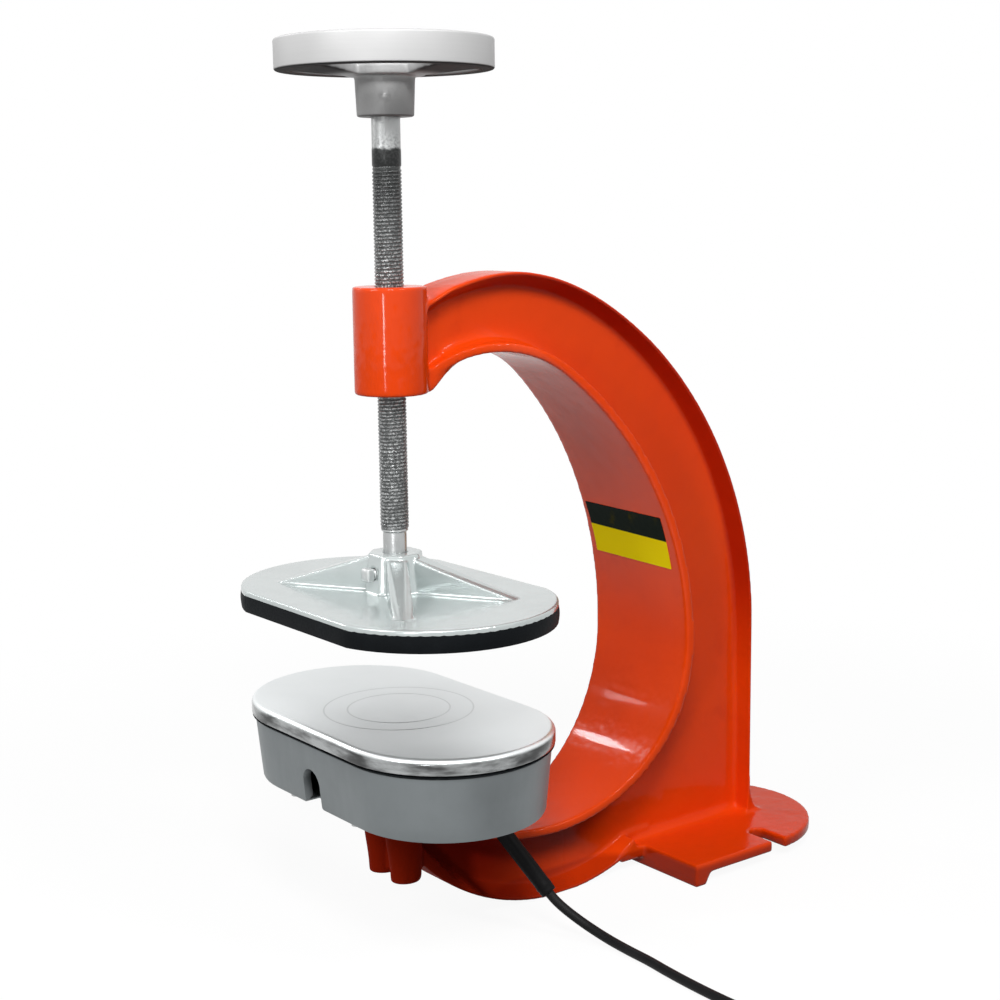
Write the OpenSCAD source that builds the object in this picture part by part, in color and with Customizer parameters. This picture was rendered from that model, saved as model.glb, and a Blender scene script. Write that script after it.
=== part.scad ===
// Bench press for vulcanizing tyre and tube patches: a cast C-frame, a heated
// lower platen, and a screw that presses a rubber faced plate down on the patch.
// Millimetres, +Z up, bench at z = 0, origin at the middle of the footprint.

/* [Frame] */
// Screw axis to the back of the throat
throat_reach = 235; // [215:1:250]
// Height of the deepest point of the throat above the bench
throat_mid_z = 190; // [185:1:200]
// Radius of the lower part of the throat
throat_low_r = 129; // [118:1:132]
// Radius of the long back of the throat
throat_back_r = 275; // [262:1:290]
// Radius of the throat under the neck
throat_top_r = 88; // [80:1:96]
// Angle where the back of the throat turns into its top
throat_turn = 51; // [49:0.5:53]
// Depth of the casting at the spine
spine_depth = 106; // [96:1:120]
// Radius of the outer back of the arch
arch_r = 315; // [308:1:322]
// Angle where the back of the arch turns into its crown
arch_turn = 48.3; // [46:0.1:50]
// Depth of the casting over the top of the throat
crown_depth = 52; // [46:1:58]
// Radius of the outer curve between the crown and the collar
neck_r = 130; // [115:1:150]
// Radius of the outer curve under the lower arm
arm_r = 178; // [172:1:184]
// Screw axis to the lowest point of the lower arm
arm_low_x = 135; // [128:1:142]
// Thickness of the web
web_t = 12; // [8:0.5:18]
// Thickness of the flange round the throat
inner_flange_t = 7; // [5:0.5:10]
// Half the width of the throat flange at the spine
inner_flange_half = 54; // [46:1:62]
// Narrowing of each side of the throat flange per millimetre towards the screw
flange_taper = 0.2; // [0.16:0.01:0.21]
// Thickness of the outer flange
outer_flange_t = 9; // [6:0.5:12]
// Width of the outer flange
outer_flange_w = 40; // [32:1:50]

/* [Collar] */
// Diameter of the screw collar
collar_d = 52; // [42:1:60]
// Drop of the underside of the collar below the top of the throat
collar_hang = 25.5; // [22:0.5:32]
// Length of the collar
collar_l = 75; // [68:1:82]

/* [Foot] */
// Screw axis to the straight front edge of the foot
foot_front = 222; // [218:1:228]
// Width of the foot
foot_w = 160; // [140:2:190]
// Screw axis to the centre of the round rear end of the foot
foot_round_x = 318; // [312:1:326]
// Height of the top of the foot above the bench
foot_top = 18; // [16:0.5:21]
// Thickness of the foot plate
foot_t = 9; // [6:0.5:12]
// Thickness of the down-turned front lip and of the rear pad
foot_lip = 12; // [8:0.5:16]
// Width of the bench bolt slots
slot_w = 14; // [10:0.5:18]
// Depth of the bench bolt slots from the side of the foot
slot_depth = 31; // [28:1:40]
// Screw axis to the middle of the slots
slot_x = 314; // [308:1:318]

/* [Heater seat] */
// Height of the heater seat on the lower arm above the bench
seat_z = 110; // [106:1:114]
// Diameter of the heater seat
seat_d = 68; // [60:1:76]
// Thickness of the heater seat
seat_t = 10; // [7:0.5:14]
// Screw axis to the line of the two bolt lugs, towards the front
lug_back = 8; // [4:1:12]
// Distance between the two bolt lugs
lug_pitch = 28; // [26:1:32]
// Diameter of a bolt lug
lug_d = 27; // [24:1:30]
// Height of the foot of the lugs above the bench
lug_z = 45; // [40:1:48]
// Diameter of the bolts that hold the heater
bolt_d = 8; // [6:1:10]
// Depth of the pocket for the bolt heads
pocket_depth = 12; // [10:0.5:16]

/* [Heater] */
// Width of the heated platen
platen_w = 155; // [140:1:165]
// Length of the heated platen
platen_l = 268; // [250:1:290]
// Thickness of the heated platen
platen_t = 11; // [9:0.5:14]
// Radius of the rounded upper edge of the platen
platen_edge = 4; // [2:0.5:5]
// Thickness of the heat seal under the platen
seal_t = 2.5; // [1.5:0.5:4]
// Inset of the heat seal from the edge of the platen
seal_inset = 4; // [3:0.5:6]
// Height of the heater housing
housing_h = 46.5; // [44:0.5:54]
// Inset of the top of the housing from the edge of the platen
housing_inset = 2.5; // [1.5:0.5:4]
// Narrowing of each side of the housing from top to bottom
housing_draft = 4.5; // [2:0.5:6]
// Wall of the housing
housing_wall = 3; // [2.5:0.5:4]
// Width of the rim inside the top of the housing
rim_w = 12; // [10:0.5:14]
// Width of the arched vent in the front of the housing
vent_w = 19; // [14:0.5:24]
// Height of the arched vent
vent_h = 25; // [18:0.5:30]
// Offset of the vent from the middle of the front
vent_y = 4; // [-20:1:20]
// Thickness of the sheet base cover
cover_t = 2; // [1.5:0.5:3]
// Thickness of the flat mica heating element
element_t = 4; // [3:0.5:5]
// Thickness of the steel plate that clamps the element
clamp_t = 4; // [3:0.5:5]
// Thickness of the insulation board
board_t = 12; // [10:0.5:14]
// Half width of the heating stack
stack_half_w = 52; // [48:1:54]
// Half length of the heating stack
stack_half_l = 106; // [100:1:110]
// Diameter of the studs that clamp the heating stack
stud_d = 6; // [5:0.5:8]

/* [Press screw] */
// Outside diameter of the screw thread
screw_d = 20; // [18:0.5:22]
// Diameter of the turned pin at the foot of the screw
pin_d = 17; // [14:0.5:17.5]
// Length of pin that shows above the boss of the pressure plate
pin_show = 15; // [10:0.5:20]
// Length of the threaded part
thread_l = 256; // [250:1:265]
// Length of plain shank between the thread and the hub of the handwheel
shank_l = 31; // [25:1:40]

/* [Handwheel] */
// Diameter of the handwheel
wheel_d = 150; // [130:2:160]
// Height of the rim
rim_h = 21; // [16:0.5:26]
// Thickness of the rim
rim_t = 11; // [9:0.5:14]
// Rounding of the rim's edges
rim_edge = 3; // [1.5:0.5:4]
// Diameter of the hub
hub_d = 42; // [36:1:46]
// Height of the hub
hub_h = 27; // [24:0.5:34]
// Rise of the rim's underside above the top of the hub
wheel_dish = 4; // [2:0.5:8]
// Thickness of the dished spokes
spoke_t = 7; // [5:0.5:9]
// Angle of rim that each spoke takes
spoke_angle = 48; // [36:1:60]
// Diameter of the cross pin in the hub
cross_pin_d = 6; // [4:0.5:8]

/* [Pressure plate] */
// Width of the pressure plate
plate_w = 171; // [160:1:176]
// Length of the pressure plate
plate_l = 264; // [250:1:280]
// Radius of its rounded ends
plate_end_r = 88.5; // [88:0.5:96]
// Thickness of the plate at its edge
plate_t = 5; // [4:0.5:8]
// Thickness of the rubber pad
pad_t = 10.5; // [8:0.5:14]
// Gap between the pad and the heated platen as drawn
press_gap = 72; // [66:1:78]
// Height of the boss above the plate
boss_h = 28; // [24:0.5:32]
// Width of the eight sided boss at its top
boss_d = 36; // [32:1:42]
// Widening of each side of the boss from top to bottom
boss_draft = 2.5; // [1:0.5:4]
// Reach of the four ribs across the plate
rib_x = 49; // [40:1:56]
// Reach of the four ribs along the plate
rib_y = 81; // [70:1:88]
// Width of a rib where it meets the boss
rib_w = 15; // [12:1:20]
// Diameter of the square-headed retaining screw
retainer_d = 8; // [6:0.5:9]
// Width across the flats of its head
retainer_af = 9; // [8:0.5:12]
// Thickness of the thrust disc under the screw
thrust_t = 3; // [2:0.5:4]

/* [Mains lead] */
// Diameter of the lead
cord_d = 7; // [6:0.5:8]
// Diameter of the heat sleeve on the lead
sleeve_d = 13; // [11:0.5:15]
// Turns in each layer of the put away coil
coil_turns = 3; // [2:1:3]
// Mean radius of the coil
coil_r = 42; // [40:1:46]
// Diameter of the plug
plug_d = 36; // [34:1:38]
// Length of the plug's body
plug_l = 36; // [30:1:44]
// Distance between the plug's pins
plug_pin_pitch = 19; // [18:0.5:20]

/* [Fits] */
// Radial clearance of running fits
running = 0.05; // [0.02:0.01:0.1]
// Radial clearance of bolts, covers and boards in their places
clearance = 0.3; // [0.2:0.05:0.5]

/* [Hidden] */
$fn = 96;
eps = 0.01;

// Finishes
enamel = [0.89, 0.28, 0.10];
bright = [0.80, 0.81, 0.82];
grey_paint = [0.48, 0.50, 0.51];
steel = [0.50, 0.51, 0.52];
dark_steel = [0.30, 0.30, 0.31];
black = [0.07, 0.07, 0.08];

// Heights of the heater's layers
cover_top = seat_z + cover_t;
housing_top = seat_z + housing_h;
platen_z = housing_top + seal_t;
platen_top = platen_z + platen_t;
element_z = platen_z - element_t;
clamp_z = element_z - clamp_t;
board_z = clamp_z - board_t;

// Heights of the screw, the pressure plate and the handwheel
pad_z = platen_top + press_gap;
plate_z = pad_z + pad_t;
plate_top = plate_z + plate_t;
boss_top = plate_top + boss_h;
thread_z = boss_top + pin_show;
thread_top = thread_z + thread_l;
hub_z = thread_top + shank_l;
hub_top = hub_z + hub_h;
rim_z = hub_top + wheel_dish;

// The footprint is centred on the origin
foot_back = foot_round_x + foot_w / 2;
axis_x = (plate_w / 2 - foot_back) / 2;

// Centres and angles of the arcs round the throat
function polar(r, a) = [r * cos(a), r * sin(a)];
low_c = [throat_reach - throat_low_r, throat_mid_z];
back_c = [throat_reach - throat_back_r, throat_mid_z];
top_c = back_c + polar(throat_back_r - throat_top_r, throat_turn);
throat_top = top_c[1] + throat_top_r;
low_end = -180 - asin((seat_z - low_c[1]) / throat_low_r);
top_end = 128;
run_on = 15;
lap = 0.5;

// Centres and angles of the outer arcs
spine_x = throat_reach + spine_depth;
crown_z = throat_top + crown_depth;
arch_x = spine_x - arch_r;
crown_r = arch_r - (top_c[0] - arch_x) / cos(arch_turn);
crown_c = [top_c[0], crown_z - crown_r];
arch_c = [arch_x, crown_c[1] - (top_c[0] - arch_x) * tan(arch_turn)];
collar_z = throat_top - collar_hang;
neck_c = [top_c[0], crown_z - neck_r];
neck_end = 90 + asin(top_c[0] / neck_r);
bench_flat = 1;
arm_c = [arm_low_x, arm_r - bench_flat];
arm_front = -160;
arm_rear = asin((foot_top - arm_c[1]) / arm_r);

// Places inside the heater
post_y = 40;
post_d = 10;
post_x = platen_w / 2 - housing_inset - housing_draft - housing_wall - 0.4 * post_d;
stud_at = [32, 70];
thermostat_at = [25, 30];
thermostat_d = 18;
terminal_at = [20, -46];
terminal_size = [44, 20, 16];
terminal_mouth = [10, 5, 8];
tail_pitch = 16;
tail_d = 4;
tail_room = 2;
blade = [4, 1, 7];
blade_pitch = 8;
thermostat_drop = 6;
element_margin = 2;
bolt_head_t = 5.3;
bolt_head_d = 1.85 * bolt_d;
pocket_d = 2.2 * bolt_d;
washer_t = 1.6;
washer_d = 2 * bolt_d;
screw_head_t = 2.4;
cover_screw_d = 4;
cover_screw_l = 12;
nut_t = 5;
nut_d = 1.9 * stud_d;
stud_end = 3;
blind = platen_t - 4;
tip_gap = 1;

// The mains lead: gland, sleeve and route, measured from the screw axis
sleeve_from = [50, -16, 103];
sleeve_to = [79, -77, 30];
sleeve_taper = 2;
gland_stub = 14;
gland_d = sleeve_d + 5;
gland_neck_d = gland_d - 6;
gland_collar_d = gland_d + 4;
gland_collar_t = 4;
gland_nut_t = 5;
cord_r = cord_d / 2;
coil_gap = 0.6;
coil_step = cord_d + coil_gap;
coil_lift = 1.6;
coil_at = [42, -312];
coil_out_r = coil_r + coil_turns * coil_step / 2;
coil_in_r = coil_r - coil_turns * coil_step / 2;
coil_last = 0.25;
coil_rings = 24;
coil_lead = cord_d + 1;
tie_t = 1.2;
tie_w = 8;
tail_l = 30;
tail_lead = 6;
boot_l = 26;
pin_l = 19;
plug_pin_d = 4.8;
route = [
    sleeve_to, [82, -83.3, 22.5], [86.5, -92, 15.5], [92, -104, 10.5], [96.5, -121, 7],
    [98, -140, 5.2], [98, -160, 4.2], [97, -180, 3.8], [96, -200, 3.8], [95.5, -220, 3.9],
    [95.4, -240, 4.2], [95.4, -262, 4.8], [95.4, -284, 5.1],
    [coil_at[0] + coil_out_r, coil_at[1] + coil_lead, coil_lift + cord_r]
];

// Plane shapes

module wedge(c, r, a0, a1) {
    mid = (a0 + a1) / 2;
    translate(c)
        intersection() {
            circle(r);
            polygon([[0, 0], polar(2 * r, a0), polar(2 * r, mid), polar(2 * r, a1)]);
        }
}

module band(c, r, t, a0, a1) {
    difference() {
        wedge(c, r + t, a0, a1);
        translate(c) circle(r);
    }
}

// The tighter arc of each pair runs on inside the wider one, so that no seam is left
module throat() {
    wedge(low_c, throat_low_r, low_end - run_on, run_on);
    wedge(back_c, throat_back_r, 0, throat_turn);
    wedge(top_c, throat_top_r, throat_turn - run_on, top_end + run_on);
    low_point = low_c + polar(throat_low_r, low_end);
    top_point = top_c + polar(throat_top_r, top_end);
    polygon([
        [-throat_reach, seat_z], low_point, low_c, top_c, top_point, [-throat_reach, top_point[1]]
    ]);
}

module silhouette() {
    wedge(arch_c, arch_r, 0, arch_turn);
    wedge(crown_c, crown_r, arch_turn - run_on, 90);
    wedge(neck_c, neck_r, 90 - run_on, neck_end);
    wedge(arm_c, arm_r, arm_front, arm_rear);
    neck_point = neck_c + polar(neck_r, neck_end);
    inside_x = top_c[0] + collar_d / 2;
    polygon([[0, arch_c[1]], neck_point, [inside_x, neck_point[1]], [inside_x, arch_c[1]]]);
    translate([arm_low_x, foot_top]) square([spine_x - arm_low_x, arch_c[1] - foot_top + lap]);
}

module throat_strip() {
    band(low_c, throat_low_r, inner_flange_t, low_end, lap);
    band(back_c, throat_back_r, inner_flange_t, 0, throat_turn);
    band(top_c, throat_top_r, inner_flange_t, throat_turn - lap, top_end);
}

module outer_strip() {
    band(arch_c, arch_r - outer_flange_t, outer_flange_t, 0, arch_turn);
    band(crown_c, crown_r - outer_flange_t, outer_flange_t, arch_turn, 90);
    band(neck_c, neck_r - outer_flange_t, outer_flange_t, 90 - lap, neck_end);
    band(arm_c, arm_r - outer_flange_t, outer_flange_t, arm_front, arm_rear);
    translate([spine_x - outer_flange_t, foot_top])
        square([outer_flange_t, arch_c[1] - foot_top + lap]);
}

module stadium(half_w, half_l) {
    square([2 * half_w, 2 * (half_l - half_w)], center = true);
    for (s = [-1, 1]) translate([0, s * (half_l - half_w)]) circle(half_w);
}

module press_outline() {
    intersection() {
        square([plate_w, plate_l], center = true);
        union() {
            square([2 * plate_end_r, plate_l - 2 * plate_end_r], center = true);
            for (s = [-1, 1]) translate([0, s * (plate_l / 2 - plate_end_r)]) circle(plate_end_r);
        }
    }
}

// A half section with a rounded upper corner
module edge_section(half_w, h, r) {
    square([half_w, h - r]);
    square([half_w - r, h]);
    translate([half_w - r, h - r]) circle(r);
}

// Solids used more than once

module upright(w) {
    rotate([90, 0, 0]) linear_extrude(w, center = true) children();
}

module drafted_stadium(bottom_half, top_half, straight, h) {
    for (s = [-1, 1]) translate([0, s * straight, 0]) cylinder(h = h, r1 = bottom_half, r2 = top_half);
    upright(2 * straight)
        polygon([[-bottom_half, 0], [bottom_half, 0], [top_half, h], [-top_half, h]]);
}

// An eight sided block that widens downwards
module tapered_octagon(bottom_half, top_half, h) {
    sides = 8;
    intersection_for (k = [0 : sides / 2 - 1]) rotate(360 / sides * k) upright(4 * bottom_half)
        polygon([[-bottom_half, 0], [bottom_half, 0], [top_half, h], [-top_half, h]]);
}

module at_lugs() {
    for (s = [-1, 1]) translate([-lug_back, s * lug_pitch / 2, 0]) children();
}

module at_studs() {
    for (x = [-1, 1], y = [-1, 1]) translate([x * stud_at[0], y * stud_at[1], 0]) children();
}

module at_posts() {
    for (x = [-1, 1], y = [-1, 1]) translate([x * post_x, y * post_y, 0]) children();
}

module at_tails() {
    for (s = [-1, 1]) translate([terminal_at[0] + s * tail_pitch / 2, terminal_at[1], 0]) children();
}

module along(from, to) {
    d = to - from;
    translate(from) rotate([0, acos(d[2] / norm(d)), atan2(d[1], d[0])]) children();
}

// A round tube swept along points
function unit(v) = v / norm(v);
function heading(p, i) = unit(p[min(i + 1, len(p) - 1)] - p[max(i - 1, 0)]);
function side_of(t) = unit(cross(t, abs(t[2]) > 0.95 ? [1, 0, 0] : [0, 0, 1]));
function ring(p, i, r, n) =
    let (t = heading(p, i), u = side_of(t), v = cross(u, t))
    [for (k = [0 : n - 1]) p[i] + r * (cos(360 * k / n) * u + sin(360 * k / n) * v)];

module tube(p, r, n) {
    last = len(p) - 1;
    points = [for (i = [0 : last]) each ring(p, i, r, n)];
    walls = [
        for (i = [0 : last - 1], k = [0 : n - 1])
            let (a = i * n + k, b = i * n + (k + 1) % n)
            each [[a, b, b + n], [a, b + n, a + n]]
    ];
    caps = [
        for (k = [1 : n - 2])
            each [[0, k + 1, k], [last * n, last * n + k, last * n + k + 1]]
    ];
    polyhedron(points, concat(walls, caps));
}

// The frame

module foot_plan() {
    difference() {
        union() {
            translate([foot_front, -foot_w / 2]) square([foot_round_x - foot_front, foot_w]);
            translate([foot_round_x, 0]) circle(foot_w / 2);
        }
        for (s = [-1, 1]) {
            slot_end = foot_w / 2 - slot_depth + slot_w / 2;
            translate([slot_x, s * slot_end]) circle(slot_w / 2);
            translate([slot_x - slot_w / 2, s > 0 ? slot_end : -foot_w])
                square([slot_w, foot_w - slot_end]);
        }
    }
}

module foot() {
    arm_meets = arm_c[0] + arm_r * cos(arm_rear);
    tongue = arm_meets - outer_flange_t;
    translate([0, 0, foot_top - foot_t]) linear_extrude(foot_t) foot_plan();
    translate([tongue, -outer_flange_w / 2, foot_top - foot_t])
        cube([foot_front - tongue + eps, outer_flange_w, foot_t]);
    intersection() {
        linear_extrude(foot_top) foot_plan();
        union() {
            translate([foot_front, -foot_w / 2, 0]) cube([foot_lip, foot_w, foot_top]);
            translate([foot_back - 2 * foot_lip, -outer_flange_w / 2, 0])
                cube([2 * foot_lip, outer_flange_w, foot_top]);
        }
    }
}

module lug() {
    lug_r = lug_d / 2;
    round_r = 4;
    rotate_extrude() {
        translate([0, lug_z + round_r]) square([lug_r, seat_z - seat_t / 2 - lug_z - round_r]);
        translate([0, lug_z]) square([lug_r - round_r, 2 * round_r]);
        translate([lug_r - round_r, lug_z + round_r]) circle(round_r);
    }
}

module frame_casting() color(enamel) translate([axis_x, 0, 0]) {
    flange_far = throat_reach + inner_flange_t;
    flange_near = -inner_flange_t;
    far_half = inner_flange_half + inner_flange_t * flange_taper;
    near_half = inner_flange_half - (throat_reach - flange_near) * flange_taper;
    difference() {
        union() {
            difference() {
                union() {
                    upright(web_t) difference() { silhouette(); throat(); }
                    upright(outer_flange_w) outer_strip();
                    intersection() {
                        upright(2 * far_half) throat_strip();
                        linear_extrude(crown_z)
                            polygon([
                                [flange_near, -near_half], [flange_far, -far_half],
                                [flange_far, far_half], [flange_near, near_half]
                            ]);
                    }
                    at_lugs() lug();
                }
                translate([-throat_reach, -throat_reach, seat_z - eps])
                    cube([throat_reach + seat_d / 2, 2 * throat_reach, throat_mid_z - seat_z]);
                translate([0, -outer_flange_w, -bench_flat])
                    cube([throat_reach, 2 * outer_flange_w, bench_flat]);
            }
            translate([-lug_back, 0, seat_z - seat_t]) cylinder(h = seat_t, d = seat_d);
            translate([0, 0, collar_z]) cylinder(h = collar_l, d = collar_d);
            foot();
        }
        translate([0, 0, collar_z - 1])
            cylinder(h = collar_l + crown_z - collar_z, d = screw_d + 2 * running);
        at_lugs() {
            translate([0, 0, lug_z - 1]) cylinder(h = seat_z - lug_z + 2, d = bolt_d + 2 * clearance);
            translate([0, 0, lug_z - 1]) cylinder(h = pocket_depth + 1, d = pocket_d);
        }
    }
}

// The heater

module heater_plate() color(bright) translate([axis_x, 0, platen_z]) {
    half_w = platen_w / 2;
    straight = (platen_l - platen_w) / 2;
    difference() {
        union() {
            for (s = [-1, 1]) translate([0, s * straight, 0])
                rotate_extrude() intersection() {
                    edge_section(half_w, platen_t, platen_edge);
                    square([half_w, platen_t]);
                }
            upright(2 * straight) {
                edge_section(half_w, platen_t, platen_edge);
                mirror([1, 0]) edge_section(half_w, platen_t, platen_edge);
            }
        }
        translate([0, 0, -1]) {
            at_lugs() cylinder(h = blind + 1, d = bolt_d + 2 * running);
            at_studs() cylinder(h = blind + 1, d = stud_d + 2 * running);
        }
    }
}

module heat_seal() color(black) translate([axis_x, 0, housing_top]) linear_extrude(seal_t)
    difference() {
        stadium(platen_w / 2 - seal_inset, platen_l / 2 - seal_inset);
        stadium(platen_w / 2 - housing_inset - rim_w, platen_l / 2 - housing_inset - rim_w);
    }

module heater_housing() color(grey_paint) translate([axis_x, 0, seat_z]) {
    top_half = platen_w / 2 - housing_inset;
    bottom_half = top_half - housing_draft;
    straight = (platen_l - platen_w) / 2;
    rim_z0 = housing_h - housing_wall;
    vent_top = vent_h - vent_w / 2;
    vent_reach = 2 * housing_wall + housing_draft + 2;
    difference() {
        union() {
            difference() {
                drafted_stadium(bottom_half, top_half, straight, housing_h);
                translate([0, 0, -eps])
                    drafted_stadium(
                        bottom_half - housing_wall, top_half - housing_wall,
                        straight, housing_h - housing_wall + eps
                    );
                translate([0, 0, rim_z0 - 1])
                    linear_extrude(housing_wall + 2) stadium(top_half - rim_w, top_half - rim_w + straight);
            }
            translate([0, 0, cover_t]) at_posts() cylinder(h = rim_z0 - cover_t + eps, d = post_d);
        }
        translate([0, 0, cover_t - 1]) at_posts() cylinder(h = cover_screw_l, d = cover_screw_d);
        translate([-top_half - 1, vent_y, 0]) {
            translate([0, -vent_w / 2, -1]) cube([vent_reach, vent_w, vent_top + 1]);
            translate([0, 0, vent_top]) rotate([0, 90, 0]) cylinder(h = vent_reach, d = vent_w);
        }
    }
}

// A layer of the heating stack, with its holes
module stack_layer(z, t, half_w, half_l, tail_hole) {
    translate([0, 0, z]) linear_extrude(t) difference() {
        stadium(half_w, half_l);
        at_lugs() circle(bolt_d / 2 + clearance);
        at_studs() circle(stud_d / 2 + clearance);
        if (tail_hole) at_tails() circle(tail_d / 2 + tail_room);
        children();
    }
}

module heating_element() color([0.75, 0.66, 0.45]) translate([axis_x, 0, 0])
    stack_layer(element_z, element_t, stack_half_w + element_margin, stack_half_l + element_margin, false);

module element_clamp() color(steel) translate([axis_x, 0, 0])
    stack_layer(clamp_z, clamp_t, stack_half_w, stack_half_l, true);

module insulation_board() color([0.86, 0.84, 0.78]) translate([axis_x, 0, 0])
    stack_layer(board_z, board_t, stack_half_w, stack_half_l, true)
        translate(thermostat_at) circle(thermostat_d / 2 + clearance);

module clamp_studs() color(steel) translate([axis_x, 0, board_z - nut_t - stud_end]) at_studs()
    cylinder(h = platen_z - board_z + nut_t + stud_end + blind - tip_gap, d = stud_d);

module clamp_nuts() color(steel) translate([axis_x, 0, board_z - nut_t]) at_studs()
    difference() {
        cylinder(h = nut_t, d = nut_d, $fn = 6);
        translate([0, 0, -1]) cylinder(h = nut_t + 2, d = stud_d + 2 * running);
    }

module thermostat() color([0.55, 0.42, 0.25]) translate([axis_x, 0, 0]) translate(thermostat_at) {
    body_h = board_t + thermostat_drop;
    translate([0, 0, clamp_z - body_h]) cylinder(h = body_h, d = thermostat_d);
    for (s = [-1, 1])
        translate([(s * blade_pitch - blade[0]) / 2, -blade[1] / 2, clamp_z - body_h - blade[2]])
            cube(blade + [0, 0, eps]);
}

module terminal_block() color([0.90, 0.88, 0.82])
    translate([axis_x, 0, cover_top]) translate(terminal_at) difference() {
        translate([-terminal_size[0] / 2, -terminal_size[1] / 2, 0]) cube(terminal_size);
        for (s = [-1, 1])
            translate([
                (s * tail_pitch - terminal_mouth[0]) / 2, -terminal_size[1] / 2 - 1,
                (terminal_size[2] - terminal_mouth[2]) / 2
            ])
                cube(terminal_mouth + [0, 1, 0]);
    }

module element_tails() color([0.72, 0.60, 0.30])
    translate([axis_x, 0, cover_top + terminal_size[2]]) at_tails()
        cylinder(h = element_z - cover_top - terminal_size[2], d = tail_d);

module base_cover() color(steel) translate([axis_x, 0, seat_z]) linear_extrude(cover_t)
    difference() {
        bottom_half = platen_w / 2 - housing_inset - housing_draft - housing_wall - clearance;
        stadium(bottom_half, bottom_half + (platen_l - platen_w) / 2);
        at_lugs() circle(bolt_d / 2 + clearance);
        at_posts() circle(cover_screw_d / 2 + clearance);
        translate([sleeve_from[0], sleeve_from[1]]) circle(gland_neck_d / 2 + clearance);
    }

module cover_screws() color(steel) translate([axis_x, 0, seat_z]) at_posts() {
    cylinder(h = cover_screw_l, d = cover_screw_d - 2 * running);
    translate([0, 0, -screw_head_t]) cylinder(h = screw_head_t, d = 2 * cover_screw_d);
}

module mounting_bolts() color(steel) translate([axis_x, 0, 0]) at_lugs() {
    head_top = lug_z + pocket_depth - washer_t;
    translate([0, 0, head_top - bolt_head_t]) cylinder(h = bolt_head_t, d = bolt_head_d, $fn = 6);
    translate([0, 0, head_top - eps]) cylinder(h = platen_z + blind - tip_gap - head_top, d = bolt_d);
}

module bolt_washers() color(steel) translate([axis_x, 0, lug_z + pocket_depth - washer_t]) at_lugs()
    difference() {
        cylinder(h = washer_t, d = washer_d);
        translate([0, 0, -1]) cylinder(h = washer_t + 2, d = bolt_d + 2 * clearance);
    }

// The mains lead

module cord_gland() color(black) translate([axis_x, 0, 0]) {
    translate([sleeve_from[0], sleeve_from[1], 0]) {
        translate([0, 0, seat_z - gland_collar_t]) cylinder(h = gland_collar_t, d = gland_collar_d);
        translate([0, 0, seat_z - eps]) cylinder(h = cover_t + 2 * eps, d = gland_neck_d);
        translate([0, 0, cover_top]) cylinder(h = gland_nut_t, d = gland_d, $fn = 6);
    }
    translate(sleeve_from) sphere(d = gland_d);
    along(sleeve_from, sleeve_to) cylinder(h = gland_stub, d = gland_d);
}

module cord_sleeve() color(black) translate([axis_x, 0, 0]) along(sleeve_from, sleeve_to)
    translate([0, 0, gland_stub]) cylinder(
        h = norm(sleeve_to - sleeve_from) - gland_stub,
        d1 = sleeve_d + sleeve_taper / 2, d2 = sleeve_d - sleeve_taper / 2
    );

module power_cord() color(black) translate([axis_x, 0, 0]) tube(route, cord_r, 10);

// Turn number s of the coil: in on the bench, half a turn to climb, then out on top
coil_half = coil_turns + 0.5;
coil_all = 2 * coil_turns + coil_last;
coil_z0 = coil_lift + cord_r;
function coil_radius(s) =
    s < coil_turns ? coil_out_r - s * coil_step :
    s < coil_half ? coil_in_r : coil_in_r + (s - coil_half) * coil_step;
function coil_height(s) = coil_z0 + coil_step * min(1, max(0, 2 * (s - coil_turns)));
function coil_point(s) = [
    coil_at[0] + coil_radius(s) * cos(360 * s),
    coil_at[1] - coil_radius(s) * sin(360 * s),
    coil_height(s)
];
coil_count = round(coil_all * coil_rings);
coil_turned = [for (i = [0 : coil_count]) coil_point(i * coil_all / coil_count)];
coil_path = concat(
    [coil_point(0) + [0, coil_lead, 0]], coil_turned, [coil_point(coil_all) - [coil_lead, 0, 0]]
);
coil_space = min([
    for (i = [0 : coil_count], j = [i + coil_rings / 2 : 1 : coil_count])
        norm(coil_turned[i] - coil_turned[j])
]) - cord_d;
echo(least_gap_between_turns_of_the_coil = coil_space);

module cord_coil() color(black) translate([axis_x, 0, 0]) tube(coil_path, cord_r, 6);

module cord_tie() color([0.16, 0.16, 0.17]) translate([axis_x + coil_at[0], coil_at[1], 0]) {
    tie_turn = 0.75;
    inner = coil_radius(tie_turn + coil_turns - 1) - cord_r - clearance;
    outer = coil_radius(tie_turn) + cord_r + clearance;
    low = coil_lift - clearance;
    high = coil_lift + cord_d + coil_step + clearance;
    translate([-tie_w / 2, 0, 0]) rotate([90, 0, 90]) linear_extrude(tie_w) difference() {
        translate([inner - tie_t, low - tie_t])
            square([outer - inner + 2 * tie_t, high - low + 2 * tie_t]);
        translate([inner, low]) square([outer - inner, high - low]);
    }
}

coil_exit = coil_path[len(coil_path) - 1];
plug_z = plug_d / 2 + running;
plug_from = [coil_exit[0] - tail_l, coil_exit[1], plug_z];
tail_rise = plug_z - coil_exit[2];
tail_steps = 6;
tail_run = tail_l - 2 * tail_lead;
tail_route = concat(
    [coil_exit],
    [
        for (i = [0 : tail_steps])
            let (f = i / tail_steps)
            coil_exit + [-tail_lead - tail_run * f, 0, tail_rise * f * f * (3 - 2 * f)]
    ],
    [plug_from]
);

module cord_tail() color(black) translate([axis_x, 0, 0]) tube(tail_route, cord_r, 10);

// The plug lies along -X from the end of the lead
module on_plug() {
    translate([axis_x, 0, 0]) translate(plug_from) rotate([0, -90, 0]) children();
}

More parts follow.
